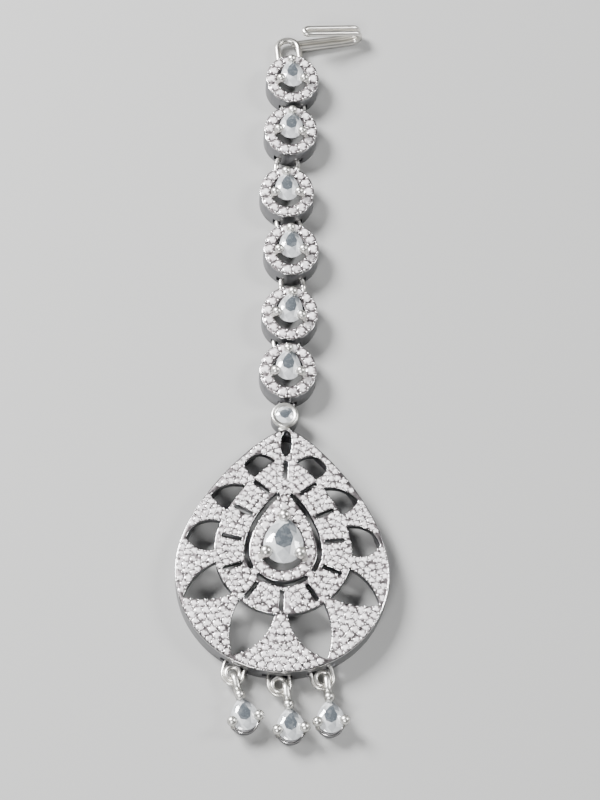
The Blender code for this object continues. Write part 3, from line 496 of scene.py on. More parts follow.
def turned(points, degrees, place=(0.0, 0.0)):
    """Points turned about the upright axis and then moved to a place."""
    angle = math.radians(degrees)
    spin = np.array([[math.cos(angle), math.sin(angle), 0.0],
                     [-math.sin(angle), math.cos(angle), 0.0],
                     [0.0, 0.0, 1.0]])
    return points @ spin + np.array([place[0], place[1], 0.0])


def turned_spot(x, y, degrees, place=(0.0, 0.0)):
    """One flat spot turned about the origin and then moved to a place."""
    return turned(np.array([[x, y, 0.0]]), degrees, place)[0, :2]


# Surfaces. A shell is its points, a list of face arrays, and finishes for all or each face.
# Finish 0 is the bright one, 1 the satin wall in painted shade, 2 the ground between stones in
# painted shade, 3 the balls.

def grid_faces(rows, columns, wrap_rows=False):
    """Corner numbers of the quads between the points of a grid whose rows are closed lines."""
    row = np.arange(rows if wrap_rows else rows - 1)[:, None]
    column = np.arange(columns)[None, :]
    next_row = (row + 1) % rows
    next_column = (column + 1) % columns
    corners = [row * columns + column, row * columns + next_column,
               next_row * columns + next_column, next_row * columns + column]
    return np.stack(corners, axis=-1).reshape(-1, 4)


def faces_of(*corners):
    """Faces from an array of numbers, or one number, for each of their corners."""
    return np.stack(np.broadcast_arrays(*corners), axis=-1)


def fan(ring, pole):
    """Triangles from a ring of corner numbers to one corner."""
    return faces_of(ring, np.roll(ring, -1), pole)


def tube(path, side, radii, sides=16, closed=False):
    """A round tube: at each point of the path a circle of the given radius.

    The circle lies across the path, and the side directions, made square to the path, give
    where it starts. An open tube is closed by a point at each end.
    """
    path = np.asarray(path)
    if closed:
        step = np.roll(path, -1, axis=0) - np.roll(path, 1, axis=0)
    else:
        step = np.gradient(path, axis=0)
    step = unit(step)
    side = np.broadcast_to(np.asarray(side, dtype=float), path.shape)
    normal = unit(side - np.sum(side * step, axis=1, keepdims=True) * step)
    other = np.cross(step, normal)
    cosine, sine = circle(sides).T[:, None, :, None]
    ring = cosine * normal[:, None, :] + sine * other[:, None, :]
    points = (path[:, None, :] + each(radii, len(path))[:, None, None] * ring).reshape(-1, 3)
    faces = [grid_faces(len(path), sides, wrap_rows=closed)]
    if not closed:
        first = np.arange(sides)
        last = first + (len(path) - 1) * sides
        points = np.vstack([points, path[0], path[-1]])
        faces += [fan(first, len(points) - 2), fan(last, len(points) - 1)]
    return points, faces


def prong(foot, head, stem_radius, ball_radius, sides=20):
    """A straight stem that ends in a ball.

    Its radius is the stem's up to the ball, and then the ball's radius times the sine of an
    angle that runs on to half a turn.
    """
    foot = np.asarray(foot)
    head = np.asarray(head)
    axis = head - foot
    length = np.linalg.norm(axis)
    axis = axis / length
    start = math.asin(stem_radius / ball_radius)
    angle = np.linspace(start, math.pi, 14)[:-1]
    stem = np.linspace(0.0, length - ball_radius * math.cos(start), 4)[:-1]
    reach = np.concatenate([stem, length - ball_radius * np.cos(angle)])
    radii = np.concatenate([np.full(len(stem), stem_radius), ball_radius * np.sin(angle)])
    side = np.array([1.0, 0.0, 0.0]) if abs(axis[0]) < 0.9 else np.array([0.0, 1.0, 0.0])
    points, faces = tube(foot + reach[:, None] * axis, side, radii, sides)
    points[-1] = head + ball_radius * axis
    return points, faces


def prongs(pairs, stem_radius, ball_radius):
    """Shells of prongs, each from a foot to a head."""
    return [shell(prong(foot, head, stem_radius, ball_radius), finish=3) for foot, head in pairs]


def stacked(rings, finishes):
    """A closed surface through a stack of lines of equal count, the last joined to the first.

    Each line's finish goes on the faces between it and the next one.
    """
    faces = [grid_faces(len(rings), len(rings[0]), wrap_rows=True)]
    return {"points": np.vstack(rings), "faces": faces,
            "finish": np.repeat(finishes, len(rings[0]))}


def swept_loop(loop, stations):
    """A closed wall: each station is a distance in from the loop, a height and a finish."""
    inward = -outward(loop)
    rings = [lifted(loop + inward * inset, height) for inset, height, _ in stations]
    return stacked(rings, [finish for _, _, finish in stations])


def lathe(profile, centre, sides=72):
    """A turned shape whose profile of radii and heights starts and ends on the axis."""
    ring = circle(sides)
    rows = [lifted(ring * radius + centre, height) for radius, height in profile[1:-1]]
    poles = [[centre[0], centre[1], profile[0][1]], [centre[0], centre[1], profile[-1][1]]]
    first = np.arange(sides)
    count = len(rows) * sides
    faces = [grid_faces(len(rows), sides), fan(first, count), fan(count - 1 - first, count + 1)]
    return np.vstack(rows + [np.array(poles)]), faces


def brilliant(outline, keel, cut, width, height):
    """A cut stone from 32 points round its girdle, the first on its tip.

    Eight table corners lie on the way from the keel to the outline, eight kite corners farther
    out and half a facet round, and eight pavilion corners near the keel. Their heights put each
    kite and each pavilion main in the plane through its own girdle corner.
    """
    middle = np.array([0.0, keel])
    spread = outline - middle
    main = spread[0::4]
    half = spread[2::4]
    shrink = math.cos(math.pi / 8)
    kite_drop = (KITE_SHARE * shrink - TABLE_SHARE) / (1 - TABLE_SHARE)
    crown = width * cut["crown"]
    depth = width * cut["depth"]
    top = height + width * cut["girdle"]
    rings = [
        lifted(middle + main * TABLE_SHARE, top + crown),
        lifted(middle + half * KITE_SHARE, top + crown * (1 - kite_drop)),
        lifted(outline, top),
        lifted(outline, height),
        lifted(middle + half * LOW_SHARE, height - depth * (1 - LOW_SHARE * shrink)),
        np.array([[0.0, keel, height - depth]]),
    ]
    points = np.vstack(rings)
    k = np.arange(8)
    after = (k + 1) % 8
    table, kite, upper, lower, low, culet = 0, 8, 16, 48, 80, 88
    g = np.arange(32)
    faces = [
        table + k[None, :],
        faces_of(table + k, kite + k, table + after),
        faces_of(table + after, kite + k, upper + 4 * after, kite + after),
        faces_of(kite + k, upper + 4 * k, upper + 4 * k + 1, upper + 4 * k + 2),
        faces_of(kite + k, upper + 4 * k + 2, upper + 4 * k + 3, upper + 4 * after),
        faces_of(upper + g, lower + g, lower + (g + 1) % 32, upper + (g + 1) % 32),
        faces_of(low + k, lower + 4 * k + 2, lower + 4 * k + 1, lower + 4 * k),
        faces_of(low + k, lower + 4 * after, lower + 4 * k + 3, lower + 4 * k + 2),
        faces_of(culet, low + after, lower + 4 * after, low + k),
    ]
    # Each facet's tone is painted reflection and shade: set by its kind, painted darker toward the
    # tip, and jittered from facet to facet as painted glints
    reach = np.ptp(outline[:, 1])
    tones = []
    for part, base in zip(faces, STONE_PAINTED_TONES):
        place = points[part].mean(axis=1)
        uneven = np.modf(np.arange(len(part)) * GOLDEN_ANGLE)[0] - 0.5
        tones.append(base - STONE_SHADE_SLOPE * (place[:, 1] - keel) / reach + STONE_GLINT_SPREAD * uneven)
    return points, faces, np.clip(np.concatenate(tones), 0.0, 1.0)


def stone_outline(width, length):
    """32 points round a pear stone, evenly spaced from its tip, keel end at the round end."""
    drop = width / 2
    half = pear(width, drop, length - drop, shape=STONE_PEAR)
    side = along(half, np.linspace(0.0, 1.0, 17))
    return closed_pear(side)


def pear_stone(width, length, place, height):
    """A pear brilliant at a place along the axis, with its lower girdle edge at a height."""
    points, faces, tones = brilliant(stone_outline(width, length), (length - width) * PEAR_KEEL,
                                     PEAR_CUT, width, height)
    return points + np.array([0.0, place, 0.0]), faces, tones


def small_stone(diameter):
    """A small round stone: an octagonal table, eight stars, eight mains and a short skirt.

    Girdle corners lie on the radius, half a facet round from the table's, and the skirt drops
    almost straight down into the metal.
    """
    radius = diameter / 2
    angle = np.arange(8) * math.pi / 4
    table = np.stack([SMALL_TABLE * radius * np.cos(angle), SMALL_TABLE * radius * np.sin(angle),
                      np.full(8, SMALL_CROWN * radius)], axis=1)
    shifted = angle + math.pi / 8
    girdle = np.stack([radius * np.cos(shifted), radius * np.sin(shifted), np.zeros(8)], axis=1)
    skirt = girdle * SMALL_TAPER - np.array([0.0, 0.0, SMALL_SKIRT * radius])
    k = np.arange(8)
    after = (k + 1) % 8
    faces = [
        k[None, :],
        faces_of(k, 8 + k, after),
        faces_of(after, 8 + k, 8 + after),
        faces_of(8 + k, 16 + k, 16 + after, 8 + after),
        (16 + k[::-1])[None, :],
    ]
    return np.vstack([table, girdle, skirt]), faces


def dome(radius, sides=8):
    """A bead: a ball's top point and rings at the BEAD_RINGS degrees above its widest circle."""
    rows = [lifted(circle(sides) * math.cos(rise) * radius, math.sin(rise) * radius)
            for rise in np.radians(BEAD_RINGS)]
    points = np.vstack(rows + [np.array([[0.0, 0.0, radius]])])
    last = 2 * sides + np.arange(sides)
    faces = [grid_faces(3, sides), fan(last, len(points) - 1),
             np.arange(sides)[::-1][None, :]]
    return points, faces


def scattered(shape, places, heights, spins, tilt=0.0, sizes=1.0):
    """Copies of one small shape at many places, each with its own spin, size and slight lean."""
    points, faces = shape
    count = len(places)
    cosine, sine = np.cos(spins), np.sin(spins)
    x = points[None, :, 0] * cosine[:, None] - points[None, :, 1] * sine[:, None]
    y = points[None, :, 0] * sine[:, None] + points[None, :, 1] * cosine[:, None]
    lean = spins * 7.0
    z = points[None, :, 2] + tilt * (x * np.cos(lean)[:, None] + y * np.sin(lean)[:, None])
    copies = each(sizes, count)[:, None, None] * np.stack([x, y, z], axis=-1)
    copies += np.column_stack([places, each(heights, count)])[:, None, :]
    shift = (np.arange(count) * len(points))[:, None, None]
    spread = [(part[None] + shift).reshape(-1, part.shape[1]) for part in faces]
    return copies.reshape(-1, 3), spread


# Meshes

def fill_mesh(mesh, shells):
    """Puts shells into a mesh, with a finish number and a smooth flag for each face."""
    points = []
    faces = []
    finishes = []
    smooth = []
    tones = []
    count = 0
    for shell in shells:
        points.append(shell["points"])
        size = 0
        for part in shell["faces"]:
            faces += (part + count).tolist()
            size += len(part)
        finishes.append(np.broadcast_to(shell.get("finish", 0), size))
        smooth.append(np.broadcast_to(shell.get("smooth", True), size))
        tones.append(np.broadcast_to(shell.get("tones", 0.5), size))
        count += len(shell["points"])
    mesh.from_pydata(np.vstack(points), [], faces)
    mesh.polygons.foreach_set("material_index", np.concatenate(finishes))
    mesh.polygons.foreach_set("use_smooth", np.concatenate(smooth))
    # The tone attribute carries the painted reflection and shade of the stones' facets
    tone = mesh.attributes.new("tone", "FLOAT", "FACE")
    tone.data.foreach_set("value", np.concatenate(tones))
    mesh.update()


def face_out(mesh, sharp):
    """Turns all faces outward and marks the edges that stay crisp."""
    work = bmesh.new()
    work.from_mesh(mesh)
    bmesh.ops.recalc_face_normals(work, faces=work.faces)
    work.to_mesh(mesh)
    work.free()
    if sharp:
        mesh.set_sharp_from_angle(angle=math.radians(sharp))


def added(name, data):
    """A new object in the scene."""
    item = bpy.data.objects.new(name, data)
    bpy.context.scene.collection.objects.link(item)
    return item


def make_piece(name, shells, materials, nodes=()):
    """An object of the jewel from its shells, in place of the solid model's nodes."""
    mesh = bpy.data.meshes.new(name)
    fill_mesh(mesh, shells)
    for material in materials:
        mesh.materials.append(material)
    face_out(mesh, CRISP_ANGLE)
    piece = added(name, mesh)
    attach(piece, "root")
    if nodes:
        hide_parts(*nodes)
    return piece


def shell(made, finish=0, smooth=True):
    """One shell from points and faces, and tones where it has them."""
    result = {"points": made[0], "faces": made[1], "finish": finish, "smooth": smooth}
    if len(made) > 2:
        result["tones"] = made[2]
    return result


def moved(shells, degrees, place):
    """The same shells, turned and placed."""
    return [dict(item, points=turned(item["points"], degrees, place)) for item in shells]


def vectors_of(items, field):
    """One row of x, y and z from every item of a mesh."""
    values = np.empty(len(items) * 3)
    items.foreach_get(field, values)
    return values.reshape(-1, 3)


def numbers_of(items, field):
    """One whole number from every item of a mesh."""
    values = np.empty(len(items), dtype=np.int32)
    items.foreach_get(field, values)
    return values


def mesh_shell(mesh):
    """One shell from an existing mesh, its faces grouped by their number of corners."""
    sizes = numbers_of(mesh.polygons, "loop_total")
    starts = numbers_of(mesh.polygons, "loop_start")
    finish = numbers_of(mesh.polygons, "material_index")
    corners = numbers_of(mesh.loops, "vertex_index")
    groups = [np.flatnonzero(sizes == size) for size in np.unique(sizes)]
    faces = [corners[starts[group][:, None] + np.arange(sizes[group[0]])] for group in groups]
    return {"points": vectors_of(mesh.vertices, "co"), "faces": faces,
            "finish": finish[np.concatenate(groups)]}


def evaluated(item):
    """The mesh of an object after its modifiers, welded, with the object removed."""
    bpy.context.view_layer.update()
    graph = bpy.context.evaluated_depsgraph_get()
    mesh = bpy.data.meshes.new_from_object(item.evaluated_get(graph))
    mesh.transform(item.matrix_world)
    work = bmesh.new()
    work.from_mesh(mesh)
    bmesh.ops.remove_doubles(work, verts=work.verts, dist=WELD)
    work.to_mesh(mesh)
    work.free()
    bpy.data.objects.remove(item)
    return mesh


def boxes_shell(boxes, degrees=0.0):
    """Closed boxes from pairs of corners, turned about the upright axis."""
    low = np.array([box[0] for box in boxes])
    high = np.array([box[1] for box in boxes])
    choice = np.array([[0, 0, 0], [1, 0, 0], [1, 1, 0], [0, 1, 0],
                       [0, 0, 1], [1, 0, 1], [1, 1, 1], [0, 1, 1]])
    points = low[:, None, :] + (high - low)[:, None, :] * choice[None]
    quads = np.array([[0, 3, 2, 1], [4, 5, 6, 7], [0, 1, 5, 4],
                      [1, 2, 6, 5], [2, 3, 7, 6], [3, 0, 4, 7]])
    shift = (np.arange(len(boxes)) * 8)[:, None, None]
    return turned(points.reshape(-1, 3), degrees), [(quads[None] + shift).reshape(-1, 4)]


def slot_boxes(reach, height, wire_size, near, far):
    """Two boxes through the end of a wall on +Y, for the two legs of a ring."""
    low = height - wire_size / 2 - SLOT_CLEAR
    high = height + wire_size / 2 + SLOT_CLEAR
    return [
        ((-far, reach - SLOT_DEPTH, low), (-near, reach + RING_GAP, high)),
        ((near, reach - SLOT_DEPTH, low), (far, reach + RING_GAP, high)),
    ]


def with_slots(body_shell, cutters, wall_finish):
    """A shell after boxes are cut out of it, whose cut faces take the wall's finish, its painted
    shade.
    """
    mesh = bpy.data.meshes.new("body")
    fill_mesh(mesh, [body_shell])
    tool_mesh = bpy.data.meshes.new("slots")
    fill_mesh(tool_mesh, [shell(cutter, finish=wall_finish) for cutter in cutters])
    for item in (mesh, tool_mesh):
        face_out(item, None)
        for material in CAST_FINISHES:
            item.materials.append(material)
    body = added("body", mesh)
    tool = added("slots", tool_mesh)
    modifier = body.modifiers.new("slots", "BOOLEAN")
    modifier.operation = "DIFFERENCE"
    modifier.solver = "EXACT"
    modifier.object = tool
    result = evaluated(body)
    bpy.data.objects.remove(tool)
    return mesh_shell(result)


def flat_plate(outlines, bottom, top, edge):
    """A plate with rounded edges, the later outlines cut through it.

    Faces that look up take the ground's painted shade, slanting ones the bright finish, the rest
    the wall's painted shade.
    """
    curve = bpy.data.curves.new("plate", "CURVE")
    curve.dimensions = "2D"
    curve.fill_mode = "BOTH"
    curve.extrude = (top - bottom) / 2 - edge
    curve.bevel_depth = edge
    curve.bevel_resolution = 1
    curve.offset = -edge
    for outline in outlines:
        spline = curve.splines.new("POLY")
        spline.points.add(len(outline) - 1)
        flat = np.column_stack([outline, np.zeros(len(outline)), np.ones(len(outline))])
        spline.points.foreach_set("co", flat.ravel())
        spline.use_cyclic_u = True
    item = added("plate", curve)
    item.location.z = (top + bottom) / 2
    mesh = evaluated(item)
    face_out(mesh, None)
    upward = vectors_of(mesh.polygons, "normal")[:, 2]
    # Level tops are painted dark as the shade between the stones, upright and under faces as the
    # walls' shade
    finish = np.select([upward > LEVEL, upward > SLANTING], [2, 0], 1)
    mesh.polygons.foreach_set("material_index", finish.astype(np.int32))
    return mesh_shell(mesh)


# Finishes

def node(tree, kind, values=(), **settings):
    """A new shader node with its settings, and with values in the sockets named or numbered."""
    made = tree.nodes.new("ShaderNode" + kind)
    for label, value in settings.items():
        setattr(made, label, value)
    for label, value in dict(values).items():
        made.inputs[label].default_value = value
    return made


def join(tree, rows):
    """Links between nodes: each row is an output's node and name, and an input's."""
    for source, output, sink, socket in rows:
        tree.links.new(source.outputs[output], sink.inputs[socket])


def new_group(name, inputs, outputs):
    """An empty node group with named sockets."""
    group = bpy.data.node_groups.new(name, "ShaderNodeTree")
    for label, kind, value in inputs:
        socket = group.interface.new_socket(label, in_out="INPUT", socket_type="NodeSocket" + kind)
        socket.default_value = value
    for label, kind in outputs:
        group.interface.new_socket(label, in_out="OUTPUT", socket_type="NodeSocket" + kind)
    return group, group.nodes.new("NodeGroupInput"), group.nodes.new("NodeGroupOutput")


def worn_group():
    """Cloudy tone, uneven gloss and faint ripples of plated metal, on object coordinates."""
    group, source, sink = new_group(
        "worn_plating",
        [("Size", "Float", 600.0), ("Light", "Color", (1, 1, 1, 1)),
         ("Dark", "Color", (1, 1, 1, 1)), ("Smooth", "Float", 0.1), ("Rough", "Float", 0.3),
         ("Ripple", "Float", 0.1)],
        [("Color", "Color"), ("Roughness", "Float"), ("Normal", "Vector")])
    place = node(group, "TexCoord")
    cloud = node(group, "TexNoise", {"Detail": 3.0})
    tint = node(group, "Mix", data_type="RGBA")
    gloss = node(group, "MapRange", {"From Min": 0.3, "From Max": 0.7})
    bump = node(group, "Bump", {"Distance": 0.05 * MM})
    join(group, [
        (place, "Object", cloud, "Vector"), (source, "Size", cloud, "Scale"),
        (cloud, "Fac", tint, "Factor"), (source, "Dark", tint, "A"), (source, "Light", tint, "B"),
        (cloud, "Fac", gloss, "Value"), (source, "Smooth", gloss, "To Min"),
        (source, "Rough", gloss, "To Max"), (source, "Ripple", bump, "Strength"),
        (cloud, "Fac", bump, "Height"), (tint, "Result", sink, "Color"),
        (gloss, "Result", sink, "Roughness"), (bump, "Normal", sink, "Normal"),
    ])
    return group


def facet_group():
    """Painted reflection and shade of each facet, its tone between two colours, with a little cloud
    inside the stone.
    """
    group, source, sink = new_group(
        "facet_painted_reflection",
        [("Dark", "Color", (0.3, 0.3, 0.3, 1)), ("Light", "Color", (1, 1, 1, 1)),
         ("Cloud", "Float", 0.2), ("Size", "Float", 900.0)],
        [("Color", "Color")])
    tone = node(group, "Attribute", attribute_name="tone")
    place = node(group, "TexCoord")
    cloud = node(group, "TexNoise", {"Detail": 2.0})
    centred = node(group, "Math", {1: 0.5}, operation="SUBTRACT")
    spread = node(group, "Math", operation="MULTIPLY_ADD", use_clamp=True)
    tint = node(group, "Mix", data_type="RGBA")
    join(group, [
        (place, "Object", cloud, "Vector"), (source, "Size", cloud, "Scale"),
        (cloud, "Fac", centred, 0), (centred, "Value", spread, 0), (source, "Cloud", spread, 1),
        (tone, "Fac", spread, 2), (spread, "Value", tint, "Factor"), (source, "Dark", tint, "A"),
        (source, "Light", tint, "B"), (tint, "Result", sink, "Color"),
    ])
    return group


WORN = worn_group()
FACETS = facet_group()


def principled(name, values):
    """A new material, its nodes and its shader with these values in the shader's sockets."""
    material = bpy.data.materials.new(name)
    material.use_nodes = True
    shader = material.node_tree.nodes["Principled BSDF"]
    for label, value in values.items():
        shader.inputs[label].default_value = value
    return material, material.node_tree, shader


def plated(name, light, dark, smooth, rough, size, ripple, edge=0.9):
    """Plated metal of varied tone and gloss, whose edge is how bright it stays when grazed."""
    material, tree, shader = principled(name, {
        "Metallic": 1.0, "Specular Tint": (edge, edge, edge, 1.0)})
    worn = node(tree, "Group", {
        "Size": size, "Light": (*light, 1.0), "Dark": (*dark, 1.0), "Smooth": smooth,
        "Rough": rough, "Ripple": ripple}, node_tree=WORN)
    join(tree, [(worn, "Color", shader, "Base Color"), (worn, "Roughness", shader, "Roughness"),
                (worn, "Normal", shader, "Normal")])
    material.diffuse_color = (*light, 1.0)
    return material


def stone_finish(name, light, dark, cloud, size, through, roughness):
    """Clear stone whose facets differ in tone as painted reflection and shade, more or less
    see-through.
    """
    material, tree, shader = principled(name, {
        "Metallic": 0.0, "Roughness": roughness, "IOR": 2.15, "Transmission Weight": through})
    facets = node(tree, "Group", {
        "Light": (*light, 1.0), "Dark": (*dark, 1.0), "Cloud": cloud, "Size": size},
        node_tree=FACETS)
    join(tree, [(facets, "Color", shader, "Base Color")])
    material.diffuse_color = (*light, 1.0)
    return material


BRIGHT = plated("bright_rhodium", (0.84, 0.82, 0.82), (0.68, 0.66, 0.66), 0.12, 0.24, 900.0, 0.15,
                edge=0.4)
BALLS = plated("ball_rhodium", (0.86, 0.85, 0.81), (0.74, 0.73, 0.69), 0.30, 0.40, 700.0, 0.0,
               edge=0.05)
WIRE = plated("bright_wire", (0.90, 0.88, 0.84), (0.78, 0.76, 0.71), 0.26, 0.38, 500.0, 0.0,
              edge=0.5)
# The wall and ground metals are the bright rhodium painted much darker: painted shade on upright
# sides, undersides and the plate between the stones
SHADED_WALL = plated("satin_wall_painted_shade", (0.28, 0.28, 0.29), (0.19, 0.19, 0.20), 0.28, 0.42, 260.0, 0.1)
SHADED_GROUND = plated("pave_ground_painted_shade", (0.36, 0.325, 0.335), (0.20, 0.18, 0.185), 0.25, 0.45, 1500.0, 0.5,
                edge=0.5)
# The stones' light and dark colours are the two ends of the painted reflections and shade on their
# facets
ICY = stone_finish("icy_stone", (0.96, 0.98, 1.0), (0.10, 0.115, 0.13), 0.5, 1100.0, 0.3, 0.02)
SPARK = stone_finish("pave_stone", (1.0, 0.96, 0.97), (0.08, 0.065, 0.07), 0.25, 1500.0, 0.0, 0.06)
CAST_FINISHES = [BRIGHT, SHADED_WALL, SHADED_GROUND, BALLS]


# Kinds of pieces

def make_cast(name, shells, degrees, place, node_name):
    """A cast piece from shells that are turned and placed."""
    return make_piece(name, moved(shells, degrees, place), CAST_FINISHES,
                      [node_name])


def make_gems(name, stones, degrees, place, nodes=(), material=ICY):
    """Faceted stones as one piece, turned and placed."""
    shells = moved([shell(item, smooth=False) for item in stones], degrees, place)
    return make_piece(name, shells, [material], nodes)


def make_wire(name, wires, node_name):
    """Round wires as one piece."""
    return make_piece(name, [shell(item) for item in wires], [WIRE], [node_name])


# Places of the links and of the pendant in the model's frame

def home():
    """Place of the middle of the pendant's round end, from the model's own box."""
    low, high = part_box("pendant_setting")
    return np.array([(low[0] + high[0]) / 2, low[1] + PENDANT_WIDTH / 2])


HOME = home()


def chain_places():
    """Place and turn of every link, worked out from the bezel up."""
    places = {}
    reach = BEZEL_PLACE + BEZEL_DIAMETER / 2
    for row in CHAIN_LAY:
        middle = reach + (row["clear"] + 0.5) * LINK_LENGTH
        across = row["across"] * LINK_LENGTH
        places[row["name"]] = (HOME + np.array([across, middle]), row["turn"])
        reach = middle + LINK_LENGTH / 2
    return places


PLACES = chain_places()


def post_of(name, end):
    """Middle of a link's post at its upper (1) or lower (-1) end."""
    place, turn = PLACES[name]
    return turned_spot(0.0, end * (LINK_LENGTH - WALL_THICKNESS) / 2, turn, place)


# Halo links

def halo_angles(shift=0.0):
    """Ellipse angles of the halo stones, or of the gaps between them for a shift of a half."""
    return -math.pi / 2 + 2 * math.pi * (np.arange(HALO_STONES) + 0.5 + shift) / HALO_STONES


def on_link(angle, inset):
    """Points on the link's outline, both half axes shortened by an inset."""
    return np.stack([(LINK_WIDTH / 2 - inset) * np.cos(angle),
                     (LINK_LENGTH / 2 - inset) * np.sin(angle)], axis=1)


def link_frame(lower_near, lower_far):
    """The link's plate and deep wall as one closed surface, with two slots at each end.

    Every ring of the grid is a line round the link. The rings climb the outer ellipse, cross
    the band to the teardrop opening, drop through it, and go back under the plate and down
    the inner side of the wall. Near the top the outer line is scalloped: between the halo
    stones it draws in by the scallop's depth times one less the root of the sine's size.
    """
    angle = np.linspace(0.0, 2 * math.pi, LINK_POINTS, endpoint=False)
    direction = np.arctan2(LINK_LENGTH * np.sin(angle), LINK_WIDTH * np.cos(angle))
    ray = np.stack([np.cos(direction), np.sin(direction)], axis=1)
    opening = closed_pear(pear(LINK_OPENING_WIDTH, LINK_OPENING_DROP, LINK_OPENING_RISE))
    hole = polar_radius(opening, direction)
    lobe = np.abs(np.sin((angle - halo_angles(0.5)[0]) * HALO_STONES / 2))
    notch = SCALLOP * (1.0 - np.sqrt(lobe))
    under = CAST_TOP - PLATE_THICKNESS

    def rim(inset, height, share=0.0):
        """A ring on the outline, inset, and scalloped by a share."""
        return lifted(on_link(angle, inset + share * notch), height)

    def edge(grow, height):
        """A ring along the opening, grown outward."""
        return lifted(ray * (hole + grow)[:, None], height)

    rings = [
        rim(0.0, EDGE), rim(0.0, under), rim(0.0, CAST_TOP - 1.5 * EDGE, 1.0),
        rim(EDGE / 3, CAST_TOP - EDGE / 2, 1.0), rim(1.2 * EDGE, CAST_TOP, 1.0),
        edge(1.2 * EDGE, CAST_TOP), edge(EDGE / 4, CAST_TOP - EDGE / 3), edge(0.0, CAST_TOP - EDGE),
        edge(0.0, under), rim(WALL_THICKNESS, under), rim(WALL_THICKNESS, EDGE),
        rim(WALL_THICKNESS - EDGE / 2, 0.0), rim(EDGE / 2, 0.0),
    ]
    # Finish 1 paints shade on the outer wall, the opening's wall and the underside; finish 2 paints
    # shade on the band's level top under the halo stones
    frame_shell = stacked(rings, [1, 1, 0, 0, 2, 0, 0, 1, 1, 1, 1, 1, 1])
    upper = slot_boxes(LINK_LENGTH / 2, CHAIN_RING_HEIGHT, CHAIN_WIRE, SLOT_NEAR, SLOT_REACH)
    lower = slot_boxes(LINK_LENGTH / 2, CHAIN_RING_HEIGHT, CHAIN_WIRE, lower_near, lower_far)
    return with_slots(frame_shell, [boxes_shell(upper), boxes_shell(lower, 180.0)], 1)


def link_prongs():
    """Three prongs that lean over the stone and end in balls."""
    tip = LINK_STONE_LENGTH - LINK_STONE_WIDTH / 2
    foot_height = CAST_TOP - PLATE_THICKNESS / 2
    pairs = [((0.0, tip + LINK_BALL_RADIUS / 2, foot_height),
              (0.0, tip - LINK_TIP_LEAN, LINK_BALL_HEIGHT))]
    for side in (-1, 1):
        foot = (side * (LINK_OPENING_WIDTH / 2 + STEM_RADIUS), LINK_BALL_ALONG - STEM_RADIUS,
                foot_height)
        pairs.append((foot, (side * LINK_BALL_ACROSS, LINK_BALL_ALONG, LINK_BALL_HEIGHT)))
    return prongs(pairs, STEM_RADIUS, LINK_BALL_RADIUS)


def link_beads():
    """Bead prongs: two outside each gap between the halo stones and one inside it."""
    gaps = halo_angles(0.5)
    spread = BEAD_SPREAD / (LINK_WIDTH / 2)
    places = np.vstack([on_link(gaps - spread, BEAD_INSET), on_link(gaps + spread, BEAD_INSET),
                        on_link(gaps, HALO_BAND - BEAD_INSET)])
    return scattered(dome(BEAD_RADIUS, 10), places, CAST_TOP, np.arange(len(places)) * 1.0)


def halo_gems():
    """The fourteen round stones of a link's halo."""
    angle = halo_angles()
    places = on_link(angle, HALO_BAND / 2)
    return small_gems(places, HALO_STONE_DIAMETER, angle, HALO_STONE_LEAN)


def small_gems(places, diameter, spins, tilt):
    """Small round stones set in the plate's top, with a tone of painted reflection and shade for
    every facet: a bright table, darker stars and mains, jittered as painted glints.
    """
    points, faces = small_stone(diameter)
    made = scattered((points, faces), places, CAST_TOP + STONE_PROUD, spins, tilt)
    count = len(places)
    tones = []
    for part, base, reach in zip(faces, SMALL_PAINTED_TONES, SMALL_GLINT_SPREAD):
        number = np.arange(count)[:, None] * 8.0 + np.arange(len(part))[None, :]
        spread = np.modf(number * GOLDEN_ANGLE)[0] - 0.5
        tones.append((base + reach * spread).ravel())
    return made[0], made[1], np.clip(np.concatenate(tones), 0.0, 1.0)


def build_links():
    """The six links with their stones."""
    loop_leg = (POST_WIDTH + BEZEL_LOOP_WIRE) / 2 + RING_GAP
    plain = link_frame(SLOT_NEAR, SLOT_REACH)
    lowest = link_frame(loop_leg - BEZEL_SLOT_HALF, loop_leg + BEZEL_SLOT_HALF)
    details = link_prongs() + [shell(link_beads())]
    halo = halo_gems()
    gem = pear_stone(LINK_STONE_WIDTH, LINK_STONE_LENGTH, 0.0, LINK_STONE_GIRDLE)
    for name, (place, turn) in PLACES.items():
        body = [lowest if name == CHAIN_LAY[0]["name"] else plain] + details
        make_cast(name + "_body", body, turn, place, name + "_setting")
        make_gems(name + "_halo", [halo], turn, place, material=SPARK)
        make_gems(name + "_gem", [gem], turn, place, [name + "_stone"])


def flat_wire(line, height, radii, sides=16):
    """A closed round wire along a flat line at one height."""
    return tube(lifted(line, height), UP, radii, sides, closed=True)


def flat_ring(width, length, wire, foot, head, height, swell=0.0):
    """A flat oval ring of round wire, midway between two posts, long way between them.

    The wire swells on both legs like solder: its radius is wire / 2 times
    1 + swell * exp(-(distance along the leg / SOLDER_LENGTH) squared).
    """
    path = evened(oval(width - wire, length - wire), 96)
    radii = wire / 2 * (1.0 + swell * np.exp(-(path[:, 1] / SOLDER_LENGTH) ** 2))
    made = flat_wire(path, 0.0, radii)
    reach = head - foot
    turn = math.degrees(math.atan2(-reach[0], reach[1]))
    middle = (foot + head) / 2
    points = turned(made[0], turn, middle) + np.array([0.0, 0.0, height])
    return points, made[1]


